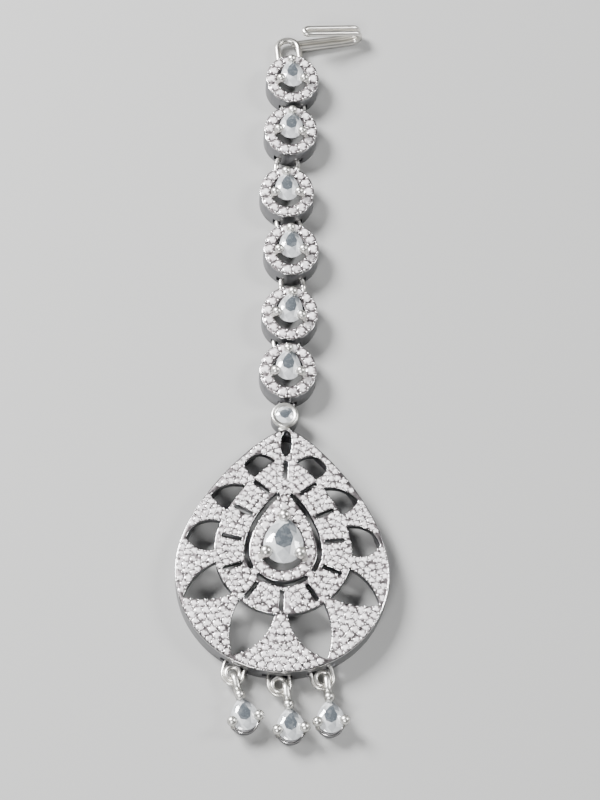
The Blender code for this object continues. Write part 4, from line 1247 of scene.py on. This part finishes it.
def build_chain_rings():
    """The five jump rings, each round the posts of two neighbouring links."""
    widest = max(row["clear"] for row in CHAIN_LAY[1:]) * LINK_LENGTH
    length = widest + 2 * (WALL_THICKNESS + RING_GAP + CHAIN_WIRE)
    thicker = CHAIN_LOOK_WIRE - CHAIN_WIRE
    for lower, upper in zip(CHAIN_LAY, CHAIN_LAY[1:]):
        foot = post_of(lower["name"], 1)
        head = post_of(upper["name"], -1)
        ring = flat_ring(CHAIN_RING_WIDTH + thicker, length + thicker, CHAIN_LOOK_WIRE, foot, head,
                         CHAIN_RING_HEIGHT, SOLDER_SWELL)
        ends = upper["name"][-1] + "_" + lower["name"][-1]
        make_wire("chain_ring_" + ends, [ring], "jump_ring_" + ends)


# Hook

def hook_line():
    """Middle line of the doubled wire and, for each point, a direction across it.

    Each run leaves the eye, goes along the floor, round an upright half circle and back above.
    A flat half circle joins the two runs at the free end. Corners are softened by averaging
    each point with its neighbours.
    """
    low = HOOK_WIRE / 2
    bend = HOOK_BEND_DIAMETER / 2
    high = low + HOOK_BEND_DIAMETER + HOOK_FREE_RISE
    half = HOOK_SPACING / 2
    free = HOOK_FREE_END + half
    angle = np.linspace(-math.pi / 2, math.pi / 2, BEND_POINTS)
    upright = np.column_stack([HOOK_RUN + bend * np.cos(angle), np.zeros(BEND_POINTS),
                               low + bend + bend * np.sin(angle)])
    angle = np.linspace(math.pi / 2, 3 * math.pi / 2, BEND_POINTS)
    flat = np.column_stack([free + half * np.cos(angle), half * np.sin(angle),
                            np.full(BEND_POINTS, high)])

    def run(side, start):
        """One run on its side, from its start over the eye to the end of its bend."""
        first = np.array([[start, 0.0, CHAIN_RING_HEIGHT], [HOOK_RUN - bend, 0.0, low]])
        return np.vstack([first, upright]) + np.array([0.0, side * half, 0.0])

    path = np.vstack([run(1, -HOOK_WIRE), flat, run(-1, -HOOK_WIRE / 3)[::-1]])
    path = evened(path, HOOK_POINTS, closed=False)
    for _ in range(HOOK_SOFT_ROUNDS):
        path[1:-1] = 0.5 * path[1:-1] + 0.25 * (path[:-2] + path[2:])
    from_end = np.abs(np.linspace(-1.0, 1.0, HOOK_POINTS))
    upward = np.clip(1.0 - from_end * HOOK_BLEND, 0.0, 1.0)[:, None]
    side = np.array([0.0, 1.0, 0.0]) * (1.0 - upward) + np.array(UP) * upward
    return path, side


def build_hook():
    """The eye round the top link's post and the doubled wire soldered to its side."""
    foot = post_of("link_1", 1) - [0.0, WALL_THICKNESS / 2 + RING_GAP + HOOK_EYE_WIRE / 2]
    half = (HOOK_EYE_LENGTH - HOOK_EYE_WIRE) / 2
    eye, faces = flat_wire(oval(HOOK_EYE_WIDTH - HOOK_EYE_WIRE, 2 * half), 0.0,
                           HOOK_EYE_WIRE / 2, sides=20)
    eye = turned(eye + np.array([0.0, half, 0.0]), HOOK_EYE_LEAN, foot)
    eye += np.array([0.0, 0.0, CHAIN_RING_HEIGHT])
    shoulder = turned_spot((HOOK_EYE_WIDTH - HOOK_EYE_WIRE) / 2, HOOK_JOIN * 2 * half,
                           HOOK_EYE_LEAN, foot)
    line, side = hook_line()
    run, run_faces = tube(line, side, HOOK_WIRE / 2, sides=20)
    run = turned(run, HOOK_TURN, shoulder)
    make_wire("hook_wire", [(eye, faces), (run, run_faces)], "hook")


# Pendant

RIM_HALF = pear(PENDANT_WIDTH, PENDANT_WIDTH / 2, PENDANT_RISE, steps=64)
RING_HALF = pear(RING_WIDTH, RING_WIDTH / 2, RING_RISE, RING_CENTRE, steps=48)
ARC_HALF = pear(ARC_WIDTH, ARC_DROP, ARC_RISE, ARC_CENTRE, steps=48)


def petal_window(row, inset):
    """One window of the right half: along the ring, out to the rim and back."""
    inner = along(RING_HALF, np.linspace(row["ring_to"], row["ring_from"], 18))
    rim, away = spot(RIM_HALF, row["rim_at"])
    corner = rim - away * inset
    upper = bulged(inner[-1], corner, row["upper"])
    lower = bulged(corner, inner[0], row["lower"])
    return np.vstack([inner, upper, lower[:-1]])


def spoke_slits():
    """Slits across the ring's band, evenly spaced round its middle line."""
    middle = pear(SPOKE_WIDTH, SPOKE_WIDTH / 2, SPOKE_RISE, SPOKE_CENTRE, steps=48)
    slits = []
    half_count = SPOKE_COUNT // 2
    for index in range(half_count + 1):
        place, away = spot(middle, index / half_count)
        if index in (0, half_count):
            away = np.array([0.0, 1.0])
            place[0] = 0.0
        line = np.linspace(-0.5, 0.5, 5)[:, None] * away * SPOKE_LENGTH + place
        slits.append(strip(line, SPOKE_GAP))
        if 0 < index < half_count:
            slits.append(mirrored(slits[-1]))
    return slits


def halo_slits():
    """Three curved slits that part the inner halo from the ring."""
    side = strip(along(ARC_HALF, np.linspace(ARC_SIDE_FROM, ARC_SIDE_TO, 48)), ARC_GAP)
    foot_half = along(ARC_HALF, np.linspace(ARC_FOOT_FROM, 1.0, 16))
    foot = strip(np.vstack([foot_half, mirrored(foot_half)[1:]]), ARC_GAP)
    return [side, mirrored(side), foot]


RIM = closed_pear(RIM_HALF)
WINDOWS = []
for number, window_row in enumerate(PETAL_WINDOWS):
    WINDOWS.append(petal_window(window_row, TIP_INSET if number == 0 else RIM_INSET))
    WINDOWS.append(mirrored(WINDOWS[-1]))
WINDOWS.append(ellipse(LEAF_WIDTH, LEAF_LENGTH, LEAF_CENTRE, 48))
SLITS = spoke_slits() + halo_slits()
OPENING = closed_pear(pear(OPENING_WIDTH, OPENING_DROP, OPENING_RISE, OPENING_CENTRE,
                           STONE_PEAR, steps=32))
HOLES = WINDOWS + SLITS + [OPENING]


def rim_wall():
    """The deep outer wall with its polished lip and a pair of slots at each drop; its sides and
    underside are in the wall's painted shade.
    """
    lip = CAST_TOP + RIM_LIP_RISE
    stations = [
        (0.0, EDGE, 1), (0.0, lip - 2 * EDGE, 0), (EDGE / 3, lip - EDGE / 2, 0),
        (EDGE, lip, 0), (RIM_LIP_WIDTH - EDGE / 2, lip, 0), (RIM_LIP_WIDTH, lip - EDGE / 2, 1),
        (RIM_LIP_WIDTH, CAST_TOP - PLATE_THICKNESS + EDGE, 1),
        (WALL_THICKNESS, CAST_TOP - PLATE_THICKNESS, 1), (WALL_THICKNESS, EDGE, 1),
        (WALL_THICKNESS - EDGE / 2, 0.0, 1), (EDGE / 2, 0.0, 1),
    ]
    boxes = slot_boxes(PENDANT_WIDTH / 2, DROP_RING_HEIGHT, DROP_OUTER_WIRE, DROP_SLOT_NEAR,
                       DROP_SLOT_FAR)
    cutters = [boxes_shell(boxes, 180.0 + row["seat"]) for row in DROP_LAY]
    return with_slots(swept_loop(evened(RIM, RIM_POINTS), stations), cutters, 1)


def bezel_parts():
    """The round cup with its lip, its neck and collar at the pendant's tip, and its loop.

    The loop goes round the lowest link's post. Along the collar the radius falls with the root
    of one less the fourth power of the distance from its middle.
    """
    radius = BEZEL_DIAMETER / 2
    bore = radius - BEZEL_WALL
    profile = [
        (0.0, BEZEL_BOTTOM), (radius - EDGE, BEZEL_BOTTOM), (radius, BEZEL_BOTTOM + EDGE),
        (radius, BEZEL_TOP - BEZEL_LIP_DEPTH / 2), (bore, BEZEL_TOP - BEZEL_LIP_DEPTH / 2),
        (bore, BEZEL_FLOOR), (0.0, BEZEL_FLOOR),
    ]
    centre = np.array([BEZEL_ACROSS, BEZEL_PLACE])
    cup = lathe(profile, centre)
    lip = swept_loop(ellipse(BEZEL_DIAMETER, BEZEL_DIAMETER, count=72) + centre, [
        (-EDGE / 4, BEZEL_TOP - BEZEL_LIP_DEPTH, 3), (-EDGE / 4, BEZEL_TOP - 2.5 * EDGE, 3),
        (EDGE, BEZEL_TOP - EDGE / 2, 3), (3 * EDGE, BEZEL_TOP, 3),
        (BEZEL_LIP_LAND - 2 * EDGE, BEZEL_TOP - EDGE / 2, 3),
        (BEZEL_LIP_LAND, BEZEL_TOP - 1.6 * EDGE, 3),
        (BEZEL_WALL, BEZEL_TOP - 3 * EDGE, 3), (BEZEL_WALL / 2, BEZEL_TOP - BEZEL_LIP_DEPTH, 3),
    ])
    collar_line = np.linspace(-0.5, 0.5, COLLAR_POINTS)[:, None] * [[COLLAR_LENGTH, 0.0, 0.0]]
    collar_line += np.array([BEZEL_ACROSS, PENDANT_RISE + BEZEL_CLEAR / 2, COLLAR_HEIGHT])
    reach = np.linspace(-COLLAR_END, COLLAR_END, COLLAR_POINTS)
    collar_radii = COLLAR_RADIUS * np.sqrt(1.0 - reach ** 4)
    collar = tube(collar_line, UP, collar_radii, sides=14)
    neck = boxes_shell([(
        (BEZEL_ACROSS - BEZEL_NECK_WIDTH / 2, PENDANT_RISE - WALL_THICKNESS, BEZEL_BOTTOM),
        (BEZEL_ACROSS + BEZEL_NECK_WIDTH / 2, BEZEL_PLACE - bore, BEZEL_NECK_HEIGHT))])
    loop_gap = CHAIN_LAY[0]["clear"] * LINK_LENGTH + WALL_THICKNESS + RING_GAP
    loop_start = BEZEL_PLACE + bore - RING_GAP
    loop_end = BEZEL_PLACE + radius + loop_gap + BEZEL_LOOP_WIRE
    width = POST_WIDTH + 2 * RING_GAP + BEZEL_LOOP_WIRE
    line = oval(width, loop_end - loop_start - BEZEL_LOOP_WIRE)
    line += np.array([CHAIN_LAY[0]["across"] * LINK_LENGTH, (loop_start + loop_end) / 2])
    loop = flat_wire(line, CHAIN_RING_HEIGHT, BEZEL_LOOP_WIRE / 2)
    # The cup and the neck are in the wall's painted shade
    return [shell(cup, finish=1), lip, shell(neck, finish=1), shell(loop), shell(collar, finish=3)]


def centre_prongs():
    """Three ball prongs that lean over the centre stone."""
    tip = CENTRE_STONE_PLACE + CENTRE_STONE_LENGTH - CENTRE_STONE_WIDTH / 2
    foot_height = CAST_TOP - PLATE_THICKNESS / 2
    pairs = [((0.0, tip + CENTRE_TIP_REACH, foot_height),
              (0.0, tip - CENTRE_BALL_RADIUS / 2, CENTRE_BALL_HEIGHT))]
    for side in (-1, 1):
        head = np.array([side * CENTRE_BALL_ACROSS, CENTRE_STONE_PLACE + CENTRE_BALL_ALONG,
                         CENTRE_BALL_HEIGHT])
        foot = head + np.array([side * CENTRE_BALL_RADIUS, -CENTRE_BALL_RADIUS / 2, 0.0])
        foot[2] = foot_height
        pairs.append((foot, head))
    return prongs(pairs, CENTRE_STEM_RADIUS, CENTRE_BALL_RADIUS)


# Pave stones of the pendant

def border_samples():
    """Evenly spaced border points and their normals into the metal."""
    places = []
    normals = []
    edge = evened(RIM, RIM_POINTS)
    edge = edge - outward(edge) * PAVE_RIM_INSET
    for loop, side in [(edge, -1)] + [(hole, 1) for hole in HOLES]:
        line = evened(loop, max(int(loop_length(loop) / BORDER_PITCH), 12))
        places.append(line)
        normals.append(side * outward(line))
    return np.vstack(places), np.vstack(normals)


BORDER, BORDER_NORMAL = border_samples()
RING = closed_pear(RING_HALF)
HALO_ZONE = closed_pear(ARC_HALF)


def distances(places, others):
    """Distance of every place to every other."""
    return np.hypot(places[:, None, 0] - others[None, :, 0],
                    places[:, None, 1] - others[None, :, 1])


def nearest_border(places):
    """Distance of each place to the nearest border point, and that point's number."""
    span = distances(places, BORDER)
    number = np.argmin(span, axis=1)
    return span[np.arange(len(places)), number], number


def in_metal(places):
    """Whether each place lies in the rim and in none of the holes."""
    good = inside(places, RIM)
    for hole in HOLES:
        good &= ~inside(places, hole)
    return good


def stone_size(places):
    """Size of the field stone for each place: large in the lower petals, else middling."""
    low = (places[:, 1] < PAVE_LARGE_BELOW) & ~inside(places, RING)
    return np.where(low, PAVE_LARGE, PAVE_MIDDLE)


def both_sides(places, size):
    """Stones of the right half, axis stones among them, with their mirror images."""
    beside = places[:, 0] > 0.0
    return (np.vstack([places, places[beside] * MIRROR]),
            np.concatenate([size, size[beside]]))


def settled(places, fixed, fixed_size):
    """Places of the right half after they push one another apart and draw up to the borders.

    The least distance of two stones is the mean of their sizes and a gap. In each round both
    stones of a closer pair move apart by a share of the lack, mirror images counted. A stone too
    near a border moves off it by the lack, and one only a little too far moves up to it by a
    share of the spare gap. Stones on the axis stay on it.
    """
    count = len(places)
    on_axis = places[:, 0] == 0.0
    own = np.arange(count)
    for _ in range(SETTLE_ROUNDS):
        size = stone_size(places)
        everyone = np.vstack([places, places * MIRROR, fixed])
        other_size = np.concatenate([size, size, fixed_size])
        least = (size[:, None] + other_size[None, :]) / 2 + PAVE_GAP
        span = distances(places, everyone) + 1e-9
        span[own, own] = 1.0
        span[own[on_axis], count + own[on_axis]] = 1.0
        weight = PUSH_SHARE * np.clip(least - span, 0.0, None) / span
        push = places * weight.sum(axis=1)[:, None] - weight @ everyone
        distance, number = nearest_border(places)
        excess = distance - size / 2 - PAVE_EDGE_GAP
        drawn = np.where(excess < PULL_REACH * size, PULL_SHARE * excess, 0.0)
        pull = np.where(excess < 0.0, excess, drawn)
        places = places + push - BORDER_NORMAL[number] * pull[:, None]
        places[:, 0] = np.where(on_axis, 0.0, np.abs(places[:, 0]))
    return places


def thinned(places, size, taken, slack):
    """Right half places without those that overlap an earlier one, a taken one or a border.

    The taken ones are full sets of places and sizes. Overlap up to the slack is let through.
    """
    good = in_metal(places) & ((places[:, 0] == 0.0) | (2 * places[:, 0] > size - slack))
    places, size = places[good], size[good]
    for stones, stone_sizes in taken:
        least = (size[:, None] + stone_sizes[None, :]) / 2
        good = np.min(distances(places, stones) - least, axis=1) > -slack
        places, size = places[good], size[good]
    good = nearest_border(places)[0] > size / 2 + PAVE_EDGE_GAP - slack
    places, size = places[good], size[good]
    span = np.minimum(distances(places, places), distances(places, places * MIRROR))
    crowded = span < (size[:, None] + size[None, :]) / 2 - slack
    kept = np.ones(len(places), dtype=bool)
    for index in range(len(places)):
        if kept[index]:
            later = crowded[index].copy()
            later[:index + 1] = False
            kept &= ~later
    return places[kept], size[kept]


def lattice(pitch):
    """A triangular grid over the right half of the pendant's box, every other row on the axis."""
    half = math.ceil(GRID_HALF * PENDANT_WIDTH / pitch)
    rows = np.arange(-round(GRID_BELOW * half), round(GRID_ABOVE * half))
    columns = np.arange(0, half + 1)
    x = (columns[None, :] + 0.5 * (rows[:, None] % 2)) * pitch
    y = rows[:, None] * pitch * math.sqrt(3.0) / 2 + 0.0 * x
    return np.stack([x.ravel(), y.ravel()], axis=1)


def inner_halo():
    """Places of the stones round the centre stone, on the line midway across their band."""
    between = {"width": (OPENING_WIDTH + ARC_WIDTH - ARC_GAP) / 2,
               "drop": (OPENING_DROP + ARC_DROP - ARC_GAP / 4) / 2,
               "rise": (OPENING_RISE + ARC_RISE - ARC_GAP) / 2}
    line = closed_pear(pear(centre=ARC_CENTRE, **between))
    return evened(line, int(loop_length(line) / (INNER_HALO_DIAMETER + PAVE_GAP)))


def pave_places():
    """Places and sizes of all the pendant's small stones: inner halo, field, and fillers.

    The field starts as one grid for each size. Stones from finer grids are squeezed in where
    they nearly fit, and all settle again. Last come fillers where they fit as they are.
    """
    halo = inner_halo()
    halo_size = np.full(len(halo), INNER_HALO_DIAMETER)
    grids = [(lattice(size + PAVE_GAP), size) for size in (PAVE_LARGE, PAVE_MIDDLE)]
    field = np.vstack([grid[stone_size(grid) == size] for grid, size in grids])
    field = field[in_metal(field) & ~inside(field, HALO_ZONE)]
    field = settled(field, halo, halo_size)
    for pitch in SQUEEZE_GRIDS:
        field, size = thinned(field, stone_size(field), [(halo, halo_size)], PAVE_LAP)
        extra = lattice(pitch)
        extra = extra[~inside(extra, HALO_ZONE)]
        taken = [(halo, halo_size), both_sides(field, size)]
        extra, _ = thinned(extra, stone_size(extra), taken, PAVE_SQUEEZE)
        field = settled(np.vstack([field, extra]), halo, halo_size)
    field, size = thinned(field, stone_size(field), [(halo, halo_size)], PAVE_LAP)
    parts = [(halo, halo_size), both_sides(field, size)]
    for filler in (PAVE_MIDDLE, PAVE_NARROW, PAVE_SMALL):
        extra = lattice(FILLER_GRID)
        extra, size = thinned(extra, np.full(len(extra), filler), parts, PAVE_LAP)
        parts.append(both_sides(extra, size))
    return np.vstack([part[0] for part in parts]), np.concatenate([part[1] for part in parts])


def halo_beads():
    """Places either side of each gap between two stones of the inner halo."""
    stones = inner_halo()
    middle = (stones + np.roll(stones, -1, axis=0)) / 2
    away = -left_of(np.roll(stones, -1, axis=0) - stones)
    away *= HALO_BEAD_REACH / np.linalg.norm(away, axis=1, keepdims=True)
    return np.vstack([middle + away, middle - away])


def bead_places(stones, sizes):
    """Places and radii of the beads between the stones.

    One lies in each hollow among three stones, one beside each gap between two stones along
    a border, and two beside each gap in the inner halo. A bead fills its hollow: its radius is
    the clear distance to the nearest stone and a little more, within two limits.
    """
    flat = [Vector(place) for place in stones * 1000.0]
    result = delaunay_2d_cdt(flat, [], [], 0, 1e-6)
    corners = np.array([face for face in result[2] if len(face) == 3])
    corner = stones[corners]
    side = np.linalg.norm(corner - np.roll(corner, 1, axis=1), axis=2)
    hollow = corner[np.max(side, axis=1) < HOLLOW_SPAN].mean(axis=1)
    pairs = np.unique(np.sort(np.vstack([corners[:, [0, 1]], corners[:, [1, 2]],
                                         corners[:, [0, 2]]]), axis=1), axis=0)
    ends = stones[pairs]
    near = np.linalg.norm(ends[:, 0] - ends[:, 1], axis=1) < PAIR_SPAN
    middle = ends[near].mean(axis=1)
    distance, number = nearest_border(middle)
    edge = number[distance < BORDER_SPAN]
    beside = BORDER[edge] + BORDER_NORMAL[edge] * BORDER_BEAD_INSET
    spots = np.vstack([halo_beads(), beside, hollow])
    clear = np.min(distances(spots, stones) - sizes[None] / 2, axis=1)
    good = in_metal(spots) & (clear > -PAVE_BEAD_LAP)
    spots, clear = spots[good], clear[good]
    gap = distances(spots, spots) + np.triu(np.full((len(spots), len(spots)), 1.0))
    apart = gap.min(axis=1) > PAVE_BEAD_PITCH
    return spots[apart], np.clip(clear[apart] + PAVE_BEAD_LAP, PAVE_BEAD_LEAST, PAVE_BEAD_MOST)


def build_pendant():
    """The pierced pendant: casting, pave stones, beads, centre stone and bezel stone."""
    inner_rim = swept_loop(evened(RIM, RIM_POINTS), [(PLATE_LAP, 0.0, 0)])["points"][:, :2]
    plate = flat_plate([inner_rim] + HOLES, CAST_TOP - PLATE_THICKNESS, CAST_TOP, EDGE)
    shells = [plate, rim_wall()] + bezel_parts() + centre_prongs()
    make_cast("pendant_body", shells, 0.0, HOME, "pendant_setting")
    stones, sizes = pave_places()
    gems = [small_gems(stones[sizes == size], size, np.arange(np.sum(sizes == size)) * PAVE_SPIN,
                       PAVE_LEAN) for size in np.unique(sizes)]
    make_gems("pendant_pave", gems, 0.0, HOME, material=SPARK)
    beads, radii = bead_places(stones, sizes)
    beads = scattered(dome(1.0), beads, CAST_TOP + PAVE_BEAD_PROUD, np.arange(len(beads)) * 1.0,
                      sizes=radii)
    make_piece("pendant_beads", moved([shell(beads)], 0.0, HOME), [BRIGHT])
    centre = pear_stone(CENTRE_STONE_WIDTH, CENTRE_STONE_LENGTH, CENTRE_STONE_PLACE,
                        CENTRE_STONE_GIRDLE)
    make_gems("centre_gem", [centre], 0.0, HOME, ["centre_stone"])
    outline = ellipse(BEZEL_STONE_DIAMETER, BEZEL_STONE_DIAMETER, count=32)
    round_gem = brilliant(outline, 0.0, ROUND_CUT, BEZEL_STONE_DIAMETER, BEZEL_STONE_GIRDLE)
    make_gems("bezel_gem", [round_gem], 0.0, HOME + np.array([BEZEL_ACROSS, BEZEL_PLACE]),
              ["bezel_stone"])


# Drops, each worked out hanging toward -Y from the middle of its bail

def drop_parts():
    """A drop's gallery, bail and three ball prongs, and its stone."""
    half = DROP_STONE_WIDTH / 2
    middle = -(DROP_TIP + DROP_STONE_LENGTH - half)
    rise = -DROP_HEAD - middle
    ray = circle(96)
    angle = np.linspace(0.0, 2 * math.pi, 96, endpoint=False)
    slim = half - DROP_BASE_WALL
    outer = polar_radius(closed_pear(pear(2 * half, half, rise, shape=STONE_PEAR)), angle)
    inner = polar_radius(closed_pear(pear(2 * slim, slim, rise - 3 * DROP_BASE_WALL,
                                          shape=STONE_PEAR)), angle)
    # The gallery's sides and underside are in the wall's painted shade; its top is bright
    rows = [(outer, EDGE, 1), (outer, DROP_BASE_HEIGHT - EDGE, 0),
            (outer - EDGE, DROP_BASE_HEIGHT, 0), (inner + EDGE, DROP_BASE_HEIGHT, 0),
            (inner, DROP_BASE_HEIGHT - EDGE, 1), (inner, EDGE, 1), (inner + EDGE, 0.0, 1),
            (outer - EDGE, 0.0, 1)]
    centre = np.array([0.0, middle])
    gallery = stacked([lifted(ray * reach[:, None] + centre, height)
                       for reach, height, _ in rows], [finish for _, _, finish in rows])
    line = oval(BAIL_HEIGHT - BAIL_WIRE, BAIL_LENGTH - BAIL_WIRE)
    path = np.column_stack([np.zeros(len(line)), line[:, 1] - BAIL_SHIFT,
                            DROP_RING_HEIGHT - line[:, 0]])
    bail, bail_faces = tube(path, (1.0, 0.0, 0.0), BAIL_WIRE / 2, closed=True)
    bail *= np.array([BAIL_BROADER, 1.0, 1.0])
    foot_height = DROP_BASE_HEIGHT / 4
    down = -(DROP_TIP + DROP_BALL_PLACE)
    pairs = [((0.0, -DROP_HEAD, foot_height),
              (0.0, -DROP_HEAD - DROP_HEAD_BALL, DROP_BALL_HEIGHT))]
    pairs += [((side * (half - STEM_RADIUS / 2), down, foot_height),
               (side * DROP_BALL_ACROSS, down, DROP_BALL_HEIGHT)) for side in (-1, 1)]
    gem = pear_stone(DROP_STONE_WIDTH, DROP_STONE_LENGTH, middle, DROP_STONE_GIRDLE)
    return ([gallery, shell((bail, bail_faces), finish=3)]
            + prongs(pairs, STEM_RADIUS, DROP_BALL_RADIUS), [gem])


def build_drops():
    """Three drops: a doubled ring round a post of the rim, a setting and a stone."""
    setting, gem = drop_parts()
    reach = WALL_THICKNESS / 2 + RING_GAP + DROP_WIRE / 2
    middle_length = DROP_RING_LENGTH - DROP_WIRE
    for row in DROP_LAY:
        post = turned_spot(0.0, -(PENDANT_WIDTH - WALL_THICKNESS) / 2 + reach, row["seat"], HOME)
        down = turned_spot(0.0, -middle_length, row["ring"])
        foot = post + down
        rings = [flat_ring(DROP_RING_WIDTH, DROP_RING_LENGTH, DROP_OUTER_WIRE, foot, post,
                           DROP_RING_HEIGHT)]
        coil = DROP_RING_WIDTH - 2 * DROP_OUTER_WIRE
        low_end = post + down * ((DROP_RING_LENGTH - DROP_RING_WIDTH) / 2 / middle_length + 0.5)
        line = ellipse(coil - DROP_OUTER_WIRE, coil - DROP_OUTER_WIRE) + low_end
        rings.append(flat_wire(line, DROP_RING_HEIGHT, DROP_COIL_RADIUS))
        name = row["name"]
        make_wire("drop_coil_" + name, rings, "drop_ring_" + name)
        radius = (DROP_RING_WIDTH - DROP_WIRE) / 2
        slide = row["slide"] * DROP_RING_WIDTH
        round_up = radius - math.sqrt(radius ** 2 - slide ** 2)
        place = foot + turned_spot(slide, round_up - row["fall"] * DROP_RING_WIDTH, row["ring"])
        make_cast("drop_frame_" + name, setting, row["stone"], place, "drop_setting_" + name)
        make_gems("drop_gem_" + name, gem, row["stone"], place, ["drop_stone_" + name])


# Floor, light and camera

def build_floor():
    """A pale plain floor under everything."""
    mesh = bpy.data.meshes.new("floor")
    corners = [(x * FLOOR_REACH, y * FLOOR_REACH, 0.0)
               for x, y in [(-1, -1), (1, -1), (1, 1), (-1, 1)]]
    mesh.from_pydata(corners, [], [(0, 1, 2, 3)])
    material, tree, shader = principled("floor_paint", {"Roughness": FLOOR_ROUGHNESS})
    place = node(tree, "TexCoord")
    cloud = node(tree, "TexNoise", {"Scale": 3.0})
    tint = node(tree, "Mix", {"A": FLOOR_DARK, "B": FLOOR_LIGHT}, data_type="RGBA")
    join(tree, [(place, "Object", cloud, "Vector"), (cloud, "Fac", tint, "Factor"),
                (tint, "Result", shader, "Base Color")])
    mesh.materials.append(material)
    added("floor", mesh)


def build_lights():
    """Three square lamps, behind to the left, at the right and in front, under a dim sky."""
    world = bpy.data.worlds.new("studio")
    world.use_nodes = True
    sky = world.node_tree.nodes["Background"]
    sky.inputs["Color"].default_value = SKY_COLOR
    sky.inputs["Strength"].default_value = SKY_STRENGTH
    bpy.context.scene.world = world
    for row in LAMPS:
        data = bpy.data.lights.new(row["name"], "AREA")
        data.shape = "SQUARE"
        data.size = row["side"]
        data.energy = row["power"]
        lamp = added(row["name"], data)
        lamp.location = row["place"]
        lamp.rotation_euler = (-Vector(row["place"])).to_track_quat("-Z", "Y").to_euler()


def build_camera():
    """The camera at the photograph's place and angle."""
    azimuth, pitch, roll = np.radians([CAMERA_AZIMUTH, CAMERA_PITCH, CAMERA_ROLL])
    ahead = np.array([-math.sin(azimuth) * math.cos(pitch), math.cos(azimuth) * math.cos(pitch),
                      -math.sin(pitch)])
    level = np.array([math.cos(azimuth), math.sin(azimuth), 0.0])
    below = np.cross(ahead, level)
    right = math.cos(roll) * level + math.sin(roll) * below
    down = -math.sin(roll) * level + math.cos(roll) * below
    data = bpy.data.cameras.new("camera")
    data.lens = CAMERA_LENS
    data.sensor_width = CAMERA_SENSOR
    data.clip_start = CAMERA_NEAR
    camera = added("camera", data)
    matrix = np.eye(4)
    matrix[:3, 0], matrix[:3, 1], matrix[:3, 2] = right, -down, -ahead
    matrix[:3, 3] = CAMERA_PLACE
    camera.matrix_world = Matrix(matrix.tolist())
    bpy.context.scene.camera = camera


build_links()
build_chain_rings()
build_hook()
build_pendant()
build_drops()
build_floor()
build_lights()
build_camera()
